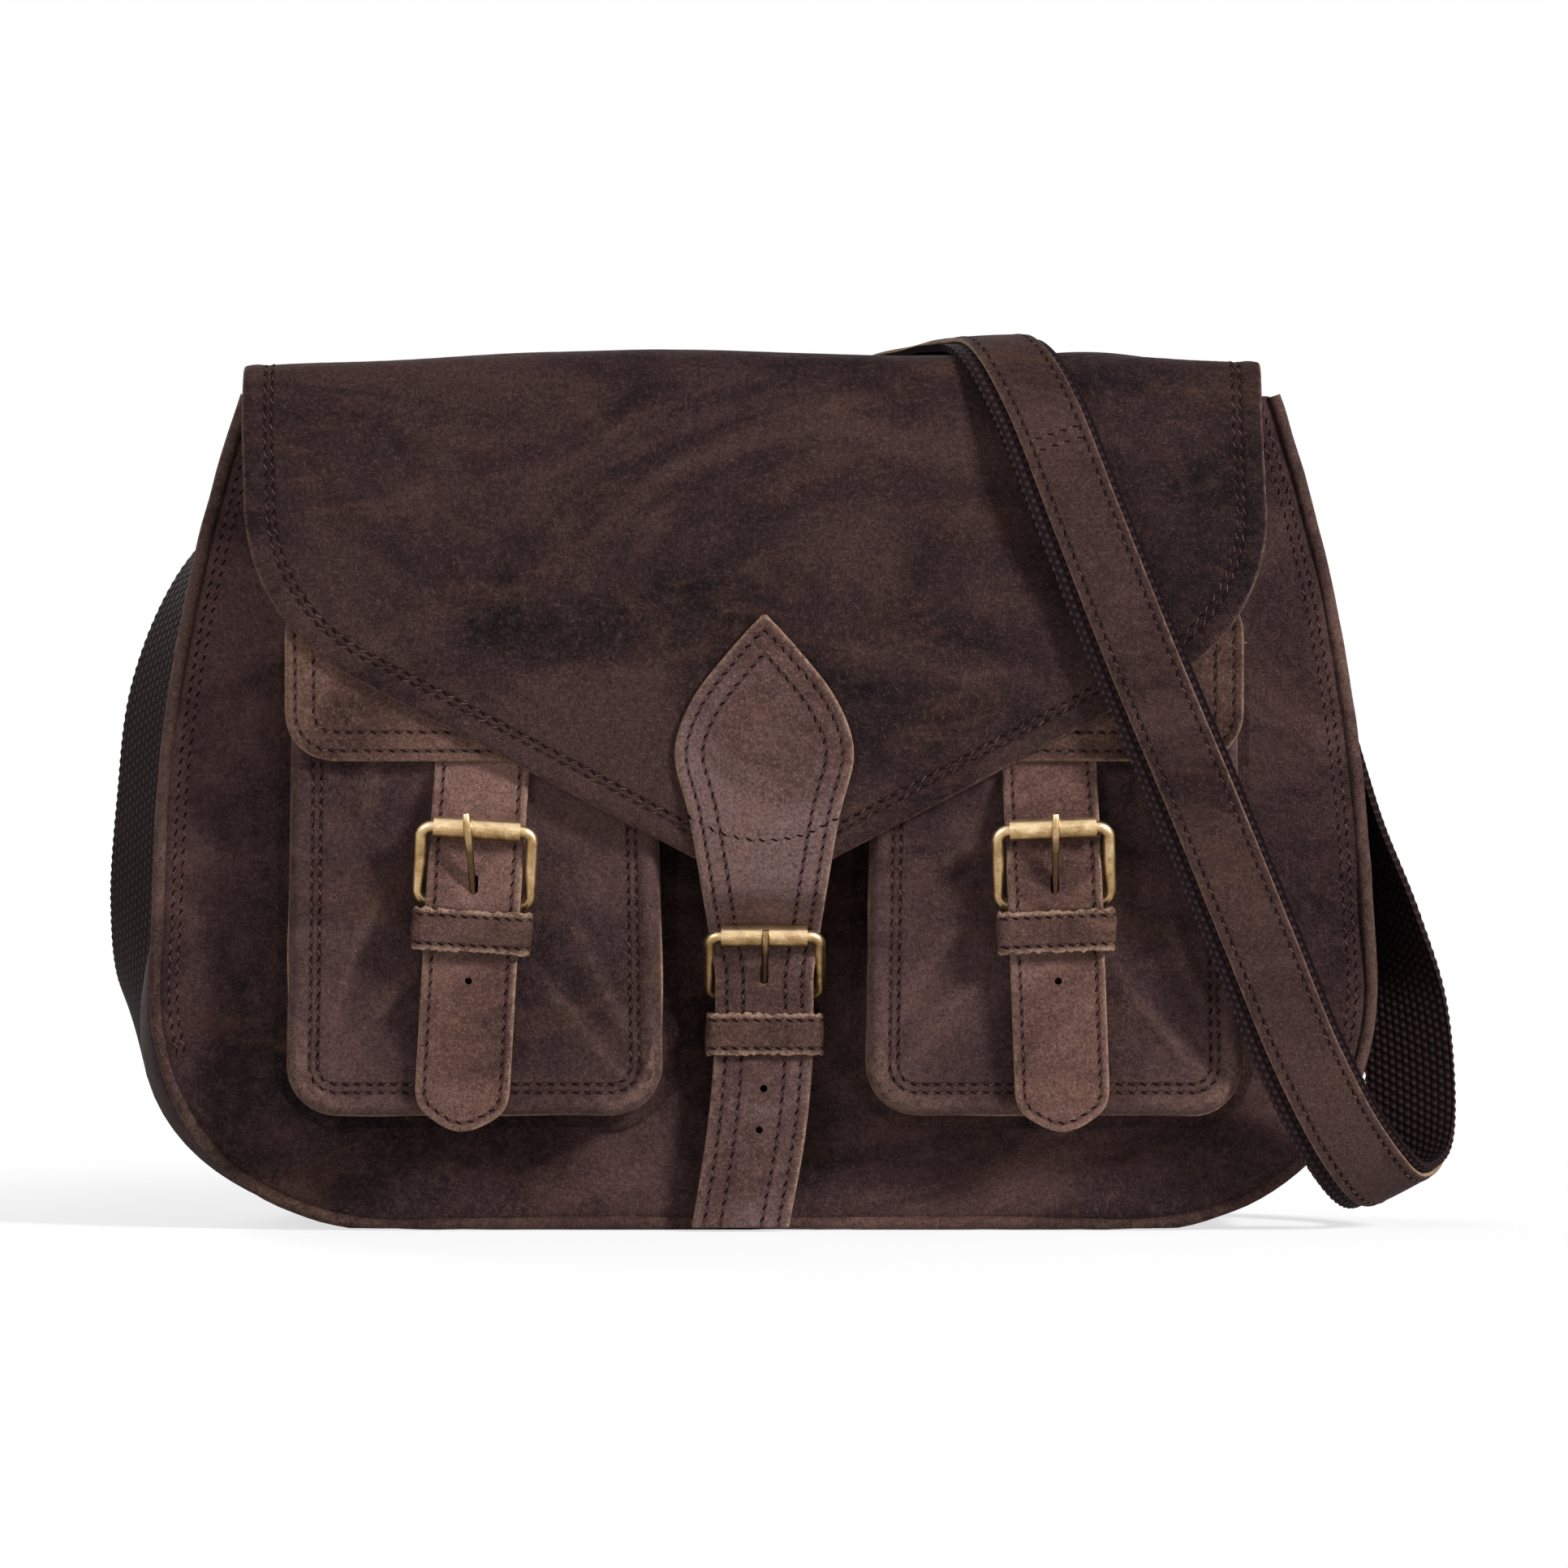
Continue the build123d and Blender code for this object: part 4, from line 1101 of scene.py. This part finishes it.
def makeClosureStrap():
    s = closureSettings
    course = sideView(s["corners"], s["radii"])
    head, rightTail, leftTail, crossing = (
        smoothLine(s[line], 1.0) for line in ("head", "rightTail", "leftTail", "crossing"))
    right = np.concatenate([rightTail[:-1], head])
    left = np.concatenate([leftTail[:-1], head * (-1, 1)])
    for line in (right, left, crossing):
        line[:, 1] = course.markAtHeight(line[:, 1])
    rows = rowsBetween(right[:-1], left[:-1], gap=2.6, first=0.9)
    strap = cutLeather("closureStrap", rows, 14, s["thickness"], "leaf", "edge", 1.1)
    holes = [(-s["drift"] * max(s["driftBelow"] - z, 0) ** 2, z) for z in s["holes"]]
    punch(strap, strapHoles(course, s["slot"], holes))
    path = np.concatenate([right, left[::-1]])
    seams = [offsetLine(path, inset) for inset in s["seams"]]
    seams = [seam[seam[:, 1] > s["seamEnd"]] for seam in seams] + [crossing]
    thread = sew("closureStitches", seams, s["thickness"] / 2 - 0.05)
    formPair((strap, thread), "main_flap", "strap_leather", ["closure_strap"], course, path,
             ripple(21.0, 30.0, 0.45),
             edgeForm=turnedEdge(0.7, 0.25, 2.8), wornAt=rawRim(1.8, 0.6))


# heights are from the buckle's bar
pocketStrapSettings = {
    "corners": [(-1.8, -68), (-3.6, -42), (-5.6, -23), (-5.6, -9), (-8.7, 0), (-6.07, 21.46), (-1.6, 37),
                (-1.6, 64)],
    "radii": [60, 30, 10, 6, 10, 14], "half": 13.75, "top": 64.0, "shoulder": -60.0, "tip": -68.2,
    "tipRadii": [9, 11, 9], "thickness": 2.2, "slot": (2.6, 8.2), "holes": [(0, -8.75), (0, -22.5)],
    "seam": 2.8}
buckleSeats = {
    "centre": {"place": (0.0, -45.0, 69.0), "sway": 0.0, "tilt": 40.0, "drop": 5.4},
    "left": {"place": (-84.0, -67.0, 96.0), "sway": 3.5, "tilt": 17.5, "drop": 2.0},
    "right": {"place": (84.0, -67.0, 96.0), "sway": -2.25, "tilt": 17.5, "drop": 2.0}}


def makePocketStrap(side):
    s = pocketStrapSettings
    seat = buckleSeats[side]
    place = seat["place"]
    course = sideView(s["corners"], s["radii"])
    half, top, shoulder = s["half"], s["top"], s["shoulder"]
    right = roundedLine([(-half, top), (-half, shoulder), (0, s["tip"]), (half, shoulder), (half, top)],
                        s["tipRadii"], 0.8)
    right = right[right[:, 0] >= 0]
    right[0, 0] = 0.0
    right[:, 1] = rising(course.markAtHeight(right[:, 1]))
    rows = rowsBetween(right, gap=2.6, first=0.9)
    strap = cutLeather(side + "PocketStrap", rows, 10, s["thickness"], "strap", "edge", 1.1)
    punch(strap, strapHoles(course, s["slot"], s["holes"]))
    outline = mirrorJoin(right)
    thread = sew(side + "PocketStrapStitches", [offsetLine(outline, s["seam"])], s["thickness"] / 2 - 0.05)
    slot = float(course.markAtHeight(s["slot"])[0])
    pull = folds(*[(x, slot + 6, 0, slot - 0.5, 1.6, -1.5) for x in (-8.5, 8.5)])
    wave = together(ripple(place[0], 24.0, 0.4), ripple(place[0] + 5, 8.0, 0.2), pull)
    formPair((strap, thread), side + "_pocket_flap", "strap_leather", [side + "_pocket_strap"],
             course, outline, wave, seat["sway"], place, edgeForm=turnedEdge(0.7, 0.25, 2.4),
             wornAt=rawRim(1.8, 0.5))


makeClosureStrap()
for side in ("left", "right"):
    makePocketStrap(side)
print("straps cut and punched")


keeperSettings = {"halfOut": 16.3, "front": -10.1, "back": -2.2, "radius": 1.4, "height": 12.2,
                  "thickness": 1.3,
                  "seam": 2.0, "seamFrom": 20.0, "frayed": 1.2}


def makeKeeper(side):
    s = keeperSettings
    seat = buckleSeats[side]
    half = s["height"] / 2
    out, front, back = s["halfOut"], s["front"], s["back"]
    ring = [(0, back), (-out, back), (-out, front), (out, front), (out, back), (0.4, back)]
    line = evenly(roundedLine(ring, [s["radius"]] * 4, 0.6), 0.8)
    course = Course(np.column_stack([line, np.full(len(line), -seat["drop"] - half)]), across=(0, 0, -1))
    rows = levelLines(half, np.linspace(0, course.length, 110))
    keeper = cutLeather(side + "Keeper", rows, 5, s["thickness"], "keeper", "edge", 0.9)
    inner, first = half - s["seam"], s["seamFrom"]
    seams = [[(x, first), (x, course.length - first)] for x in (-inner, inner)]
    thread = sew(side + "KeeperStitches", seams, s["thickness"] / 2 - 0.05, 3.0)

    def crown(x, y):
        return 0.4 * (1 - (x / half) ** 2)

    def frayed(x, y):
        # the cut edges of the keeper are ragged
        near = np.clip((np.abs(x) - half) / s["frayed"] + 1, 0, 1)
        return near * ripple(half + len(side), 1.2, 0.8)(x * 0.1, y)

    outline = np.array([(-half, 0), (-half, course.length), (half, course.length), (half, 0)])
    wave = together(crown, ripple(seat["place"][0] + 31, 7.0, 0.5))
    formPair((keeper, thread), "root", "strap_leather", [side + "_keeper"],
             course, outline, wave, seat["sway"], seat["place"], sway=frayed, wornAt=rawRim(2.2, 1.1))


chapeSettings = {
    "corners": [(-0.8, -22.0), (-0.8, -5.0), (-1.3, -1.0), (-1.3, 2.5), (-6.3, 2.5), (-6.3, -1.5),
                (-3.6, -6.0), (-3.6, -22.0)],
    "radii": [4, 3, 2.45, 2.45, 3, 3], "halfWidth": 12.0, "thickness": 1.2, "slot": (2.0, 13.0)}


def makeChape(side):
    s = chapeSettings
    seat = buckleSeats[side]
    course = sideView(s["corners"], s["radii"])
    rows = levelLines(s["halfWidth"], np.linspace(0, course.length, 40))
    chape = cutLeather(side + "Chape", rows, 8, s["thickness"], "keeper", "edge", 0.9)
    punch(chape, [(0, float(course.marks[np.argmax(course.points[:, 2])]), *s["slot"])])
    drape(chape, course, None, None, seat["sway"], seat["place"])
    settle(chape, "root", "strap_leather", side + "_chape")


# eye round the bar, then up through the strap and over the roller; places are (out, up) from the bar
prongSettings = {
    "eye": 2.7, "wire": 0.8, "eyePoints": 20, "lean": {"centre": 0.3, "left": -2.4, "right": 0.6},
    "leanAt": 22.5,
    "line": [(2.7, 0.0), (3.1, 6.0), (3.9, 12.0), (4.3, 17.5), (4.5, 22.5), (4.2, 26.4), (3.5, 27.8)],
    "radii": [0.8, 0.95, 0.95, 1.05, 1.25, 1.3, 1.1], "forward": 3.8, "bright": (15.0, 20.0)}


def makeProng(side):
    s = prongSettings
    seat = buckleSeats[side]
    tilt = math.radians(seat["tilt"])
    eye = np.linspace(math.pi * 2, 0.5, s["eyePoints"] + 2)[:-2]
    line = [(s["eye"] * math.cos(a), s["eye"] * math.sin(a)) for a in eye] + s["line"]
    places = [(s["lean"][side] * max(up / s["leanAt"], 0.0) ** 1.4 * (out > 0),
               -out * math.cos(tilt) - up * math.sin(tilt) - s["forward"],
               up * math.cos(tilt) - out * math.sin(tilt)) for out, up in line]
    wire = lineThrough(side + "Prong", places, "NURBS", bevel_depth=1.0, bevel_resolution=4,
                       use_fill_caps=True)
    spline = wire.data.splines[0]
    spline.points.foreach_set("radius", [s["wire"]] * len(eye) + s["radii"])
    spline.use_endpoint_u = True
    spline.order_u = 4
    prong = asMesh(wire)
    places = readVertices(prong)
    # the prong keeps its painted light over the roller and takes painted shade below it
    low, high = s["bright"]
    bright = np.clip((places[:, 2] / math.cos(tilt) - low) / (high - low), 0, 1)
    storePattern(prong, places, None, bright)
    writeVertices(prong, (turned(places, seat["sway"]) + np.array(seat["place"])) * mm)
    bpy.ops.object.shade_smooth()
    prong.data.materials.append(paints["darkBrass"])
    settle(prong, side + "_prong", "antique_brass", side + "_buckle_prong")


for side in buckleSeats:
    for make in (makeKeeper, makeChape, makeProng):
        make(side)
print("keepers, chapes and prongs fitted")


# shoulder strap: each station is a point on the middle of the webbing and the way its outer face looks
strapRoute = [
    ((-157.5, 0.0, 213.0), (-0.97, -0.05, 0.25)), ((-171.5, 1.0, 188.0), (-0.85, -0.45, 0.25)),
    ((-182.0, 4.0, 158.0), (-0.80, -0.60, 0.1)), ((-186.6, 8.0, 124.0), (-0.80, -0.60, 0.0)),
    ((-189.0, 14.0, 92.0), (-0.80, -0.60, -0.05)), ((-190.0, 24.0, 66.0), (-0.88, -0.35, -0.2)),
    ((-187.5, 38.0, 48.0), (-0.9, 0.2, -0.5)), ((-174.0, 53.0, 38.0), (-0.5, 0.35, -0.9)),
    ((-158.5, 60.5, 42.0), (0.3, 0.75, -0.7)), ((-141.5, 58.5, 57.0), (0.1, 1.0, -0.2)),
    ((-118.0, 53.0, 81.0), (0.0, 1.0, 0.0)), ((-82.0, 50.0, 120.0), (0.0, 1.0, 0.0)),
    ((-44.0, 50.0, 168.0), (0.0, 1.0, 0.0)), ((-6.0, 51.0, 211.0), (0.0, 1.0, 0.0)),
    ((20.0, 51.5, 241.0), (0.0, 1.0, 0.1)), ((33.0, 49.0, 252.3), (0.0, 0.8, 0.6)),
    ((41.0, 38.0, 257.6), (0.0, 0.2, 1.0)), ((52.0, 10.0, 258.9), (0.0, 0.0, 1.0)),
    ((61.0, -20.0, 259.2), (0.0, -0.05, 1.0)), ((69.0, -48.0, 257.0), (0.0, -0.5, 1.0)),
    ((79.0, -64.0, 240.0), (0.0, -1.0, 0.5)), ((92.0, -75.5, 206.0), (0.0, -1.0, 0.25)),
    ((107.0, -79.0, 168.0), (0.0, -1.0, 0.0)), ((125.0, -79.5, 125.0), (0.0, -1.0, 0.0)),
    ((141.0, -77.0, 86.0), (0.05, -1.0, -0.05)), ((156.0, -70.0, 50.0), (0.2, -1.0, -0.2)),
    ((170.0, -58.0, 25.0), (0.4, -0.8, -0.6)), ((182.0, -42.0, 13.0), (0.55, -0.1, -1.0)),
    ((190.0, -26.0, 17.0), (0.7, 0.6, -0.6)), ((191.5, -17.0, 34.0), (0.35, 0.95, -0.1)),
    ((190.5, -12.0, 60.0), (0.45, 0.9, 0.0)), ((186.5, -8.0, 88.0), (0.8, 0.55, 0.1)),
    ((178.6, -3.0, 118.0), (0.95, 0.3, 0.15)), ((170.2, -1.0, 156.0), (0.97, 0.1, 0.2)),
    ((163.4, 0.0, 187.0), (0.97, 0.0, 0.25)), ((157.5, 0.0, 213.0), (0.97, 0.0, 0.25)),
]
strapSettings = {
    "leatherFrom": 11, "leatherTo": 29, "webbingWidth": 26.8, "webbingThickness": 2.0, "leatherWidth": 20.4,
    "leatherThickness": 1.6, "lift": 1.9, "crown": 0.3, "aside": -1.0, "rib": 2.7, "seam": 2.6,
    "jointAt": 22, "jointFrom": -68.0, "jointLength": 3.6}


def strapCourse():
    places = np.array([place for place, look in strapRoute])
    looks = np.array([np.array(look) / np.linalg.norm(look) for place, look in strapRoute])
    both = smoothLine(np.column_stack([places, looks * 20]), 2.0)
    course = Course(both[:, :3], out=both[:, 3:])
    nearest = [np.argmin(np.linalg.norm(course.points - place, axis=1)) for place in places]
    return course, [float(course.marks[index]) for index in nearest]


strapLine, strapStations = strapCourse()


def layStrap(piece, outline, lift, crown=0.0, aside=0.0):
    flat = readVertices(piece)
    storePattern(piece, flat, distanceTo(flat[:, :2], outline))
    half = outline[:, 0].max()
    flat[:, 0] += aside
    uneven = ripple(41.0, 26.0, 0.25)(flat[:, 0], flat[:, 1])
    flat[:, 2] += lift + (1 - (flat[:, 0] / half) ** 2) * crown + uneven
    writeVertices(piece, strapLine.lay(flat) * mm)
    closeNormals(piece)


def makeWebbing():
    # the whole strap in one ribbon, with a selvedge that follows the ribs
    s = strapSettings
    start, end = strapStations[0], strapStations[-1]
    half = s["webbingWidth"] / 2
    levels = np.linspace(start, end, int((end - start) / s["rib"] * 2) + 1)
    rows = levelLines(half, levels)
    webbing = cutLeather("shoulderWebbing", rows, 8, s["webbingThickness"], "webbing", "webbing", 1.1, 0)
    flat = readVertices(webbing)
    ribbed = np.sin(flat[:, 1] / s["rib"] * 2 * math.pi + np.sign(flat[:, 0]))
    flat[:, 0] += np.sign(flat[:, 0]) * (np.abs(flat[:, 0]) > half - 2) * ribbed * 0.35
    writeVertices(webbing, flat)
    layStrap(webbing, rectangle(half, start, end), 0.0)
    return webbing


def makeOverlay():
    s = strapSettings
    start, end = strapStations[s["leatherFrom"]], strapStations[s["leatherTo"]]
    half = s["leatherWidth"] / 2
    middle = np.linspace(start + 3.0, end - 3.0, int((end - start) / 4.0))
    levels = np.concatenate([[start, start + 1.0], middle, [end - 1.0, end]])
    rows = levelLines(half, levels)
    overlay = cutLeather("shoulderLeather", rows, 8, s["leatherThickness"], "belt", "edge", 1.1)
    inner, first, last = half - s["seam"], start + s["seam"], end - s["seam"]
    joint = strapStations[s["jointAt"]] + s["jointFrom"]
    seams = [[(x, first), (x, last)] for x in (-inner, inner)]
    seams += levelLines(inner, [joint, joint + s["jointLength"], first, last])
    thread = sew("shoulderStitches", seams, s["leatherThickness"] / 2 - 0.05)
    for piece in (overlay, thread):
        layStrap(piece, rectangle(half, start, end), s["lift"], s["crown"], s["aside"])
    return overlay, thread


def splitAlong(piece, marks):
    # parts the laid strap across at each mark
    parts = []
    for mark in marks:
        along = np.zeros(len(piece.data.vertices) * 3, np.float32)
        piece.data.attributes["pattern"].data.foreach_get("vector", along)
        along = along.reshape(-1, 3)[:, 1] / mm
        before = along[[face.vertices[0] for face in piece.data.polygons]] < mark
        selectOnly(piece)
        editing((bpy.ops.mesh.select_all, {"action": "DESELECT"}))
        piece.data.polygons.foreach_set("select", before)
        bpy.ops.object.mode_set(mode="EDIT")
        bpy.ops.mesh.separate(type="SELECTED")
        bpy.ops.object.mode_set(mode="OBJECT")
        parts.append(next(other for other in bpy.context.selected_objects if other != piece))
    return parts + [piece]


def follow(part, ends, nodes):
    # a part of the strap is attached to the bag, or has its place baked into its mesh
    if ends is None:
        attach(part, "root")
    else:
        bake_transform(part)
    if nodes:
        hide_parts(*nodes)


def makeShoulderStrap():
    # the strap is parted near each ring and over the flap, and the front hangs from the back over the top of
    # the bag
    overFlap = ("root", "strap_front", (0, 0.062, 0), (0, -0.040, 0))
    belowFlap = ("root", "strap_front", (0, -0.010, 0), (0, -0.058, 0))
    leftRing, rightRing = [(ring, "root", (0, 0, 0.212), (0, 0, 0.150))
                           for ring in ("left_ring", "right_ring")]
    mark = strapStations
    webbing = splitAlong(makeWebbing(), [mark[3], mark[9], mark[25], mark[31]])
    nodes = ([], ["strap_left"], ["strap_back_webbing"], ["strap_front_webbing"], ["strap_right"])
    for part, ends, own in zip(webbing, (leftRing, None, overFlap, belowFlap, rightRing), nodes):
        follow(part, ends, own)
    overlay, thread = makeOverlay()
    for piece, nodes in ((overlay, (["strap_back_leather"], ["strap_front_leather"])), (thread, ([], []))):
        for part, ends, own in zip(splitAlong(piece, [mark[25]]), (overFlap, belowFlap), nodes):
            follow(part, ends, own)


makeShoulderStrap()


# tabs that hold the side rings, and the webbing's folded ends
ringSettings = {"height": 233.0, "standOff": 4.6, "wire": 1.6, "slack": 0.15, "reach": 16.0, "droop": 43.0,
                "tabLength": 34.0, "tabHalf": 11.0, "tabThickness": 1.5, "seam": 2.6, "endThickness": 1.6}


def ringBar():
    # where a ring's bar is, seen from the front, and the ways up and out from the bag there
    s = ringSettings
    edge = bodyEdge(0)[1:]
    low, high = [np.array([np.interp(z, rising(edge[:, 1], 1e-7), edge[:, 0]) - pinchAt(z), z])
                 for z in (s["height"] - s["tabLength"], s["height"])]
    up = (high - low) / np.linalg.norm(high - low)
    out = np.array([up[1], -up[0]])
    return high + out * s["standOff"], up, out


def sideLine(points, side):
    # a course in the plane y = 0; side is 1 on the right of the bag
    places = np.column_stack([points[:, 0] * side, np.zeros(len(points)), points[:, 1]])
    return Course(places, across=(0, -side, 0))


def makeRingTab(name, side):
    s = ringSettings
    bar, up, out = ringBar()
    fold = s["wire"] + s["slack"] + s["tabThickness"] / 2
    low = s["tabThickness"] + 0.3 - fold
    turn = [(-fold * math.cos(a), fold * math.sin(a)) for a in np.linspace(0, math.pi, 12)]
    path = [(low, -s["tabLength"]), (low, -9.0), (fold, -3.0)] + turn[::-1] + [(-fold, -s["tabLength"])]
    course = sideLine(evenly([bar + out * a + up * b for a, b in path], 1.0), side)
    half = s["tabHalf"]
    rows = levelLines(half, np.linspace(0, course.length, 60))
    tab = cutLeather(name + "RingTab", rows, 10, s["tabThickness"], "strap", "edge", 1.0)
    inner = half - s["seam"]
    seams = [[(-inner, 25.0), (-inner, 2.8), (inner, 2.8), (inner, 25.0)], *levelLines(inner, [23.0])]
    thread = sew(name + "RingTabStitches", seams, s["tabThickness"] / 2 - 0.05)
    formPair((tab, thread), "root", "strap_leather", [name + "_ring_tab"],
             course, rectangle(half, 0, course.length), ripple(side * 51.0, 12.0, 0.2))


def makeStrapEnd(name, side):
    s = ringSettings
    bar = ringBar()[0]
    droop = math.radians(s["droop"])
    outer = bar + np.array([math.cos(droop), -math.sin(droop)]) * s["reach"]
    first = np.array(strapRoute[-1][0])[[0, 2]]
    run = (first - outer) / np.linalg.norm(first - outer)
    aside = np.array([run[1], -run[0]])
    fold = s["wire"] + s["slack"] + s["endThickness"] / 2
    turn = [outer + fold * (aside * math.cos(a) - run * math.sin(a)) for a in np.linspace(0, math.pi, 14)]
    middle = first * 0.4 + outer * 0.6
    path = [first + aside, middle + aside * 1.6] + turn + [middle - aside * 1.6, first - aside]
    course = sideLine(evenly(path, 0.8), side)
    half = strapSettings["webbingWidth"] / 2
    rows = levelLines(half, np.linspace(0, course.length, 50))
    end = cutLeather(name + "StrapEnd", rows, 8, s["endThickness"], "webbing", "webbing", 1.0)
    drape(end, course, rectangle(half, 0, course.length))
    settle(end, name + "_ring", "webbing", name + "_strap_end")


for name, side in (("left", -1), ("right", 1)):
    makeRingTab(name, side)
    makeStrapEnd(name, side)
print("shoulder strap laid")


# the frames, rollers and rings keep their solids
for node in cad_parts.values():
    if not node.hide_render:
        node.data.materials.clear()
        node.data.materials.append(paints["brass"])


# floor and background, and the place, size and power of each light
stageSettings = {
    "floor": 0.92, "glow": (0.30, 0.70), "fade": (0.15, 0.45), "world": 0.09, "aim": (0, 0, 0.12),
    "lights": {"keyLight": ((1.85, -1.5, 1.4), 0.5, 102.0), "fillLight": ((-1.5, -1.7, 1.1), 0.7, 21.0),
               "backLight": ((-1.3, 1.8, 1.3), 1.0, 36.0)}}


def addStage():
    s = stageSettings
    bpy.ops.mesh.primitive_plane_add(size=8, location=(0, 0, -0.0002))
    floor = bpy.context.object
    floor.name = "floor"
    paint = Paint("paleFloor")
    diffuse = paint.node("ShaderNodeBsdfDiffuse", None, {"Color": (s["floor"],) * 3})
    glow = paint.node("ShaderNodeEmission", None, {"Color": (1.0, 1.0, 1.0), "Strength": 1.0})
    seen = paint.node("ShaderNodeLightPath", out="Is Camera Ray")
    away = paint.node("ShaderNodeVectorMath", {"operation": "LENGTH"}, {0: paint.place()}, out=1)
    more, least = s["glow"]
    lit = seen * (away.between(*s["fade"]) * more + least)
    paint.output(paint.node("ShaderNodeMixShader", None, {0: lit, 1: diffuse, 2: glow}))
    floor.data.materials.append(paint.material)
    world = bpy.data.worlds.new("studio")
    bpy.context.scene.world = world
    world.use_nodes = True
    sky = Paint("sky", world)
    path = [sky.node("ShaderNodeLightPath", out=f"Is {kind} Ray")
            for kind in ("Camera", "Glossy", "Transmission")]
    soft = sky.node("ShaderNodeBackground", None, {"Color": (0.95, 0.97, 1.0), "Strength": s["world"]})
    white = sky.node("ShaderNodeBackground", None, {"Color": (1.0, 1.0, 1.0), "Strength": 1.0})
    direct = path[0].math("MAXIMUM", path[1]).math("MAXIMUM", path[2])
    sky.output(sky.node("ShaderNodeMixShader", None, {0: direct, 1: soft, 2: white}), "ShaderNodeOutputWorld")


def addLight(name, place, size, power):
    bpy.ops.object.light_add(type="AREA", location=place)
    light = bpy.context.object
    light.name = name
    light.data.size = size
    light.data.energy = power
    light.rotation_euler = (Vector(stageSettings["aim"]) - Vector(place)).to_track_quat("-Z", "Y").to_euler()


addStage()
for name, light in stageSettings["lights"].items():
    addLight(name, *light)
bpy.context.scene.view_settings.view_transform = "Standard"
print("stage lit")
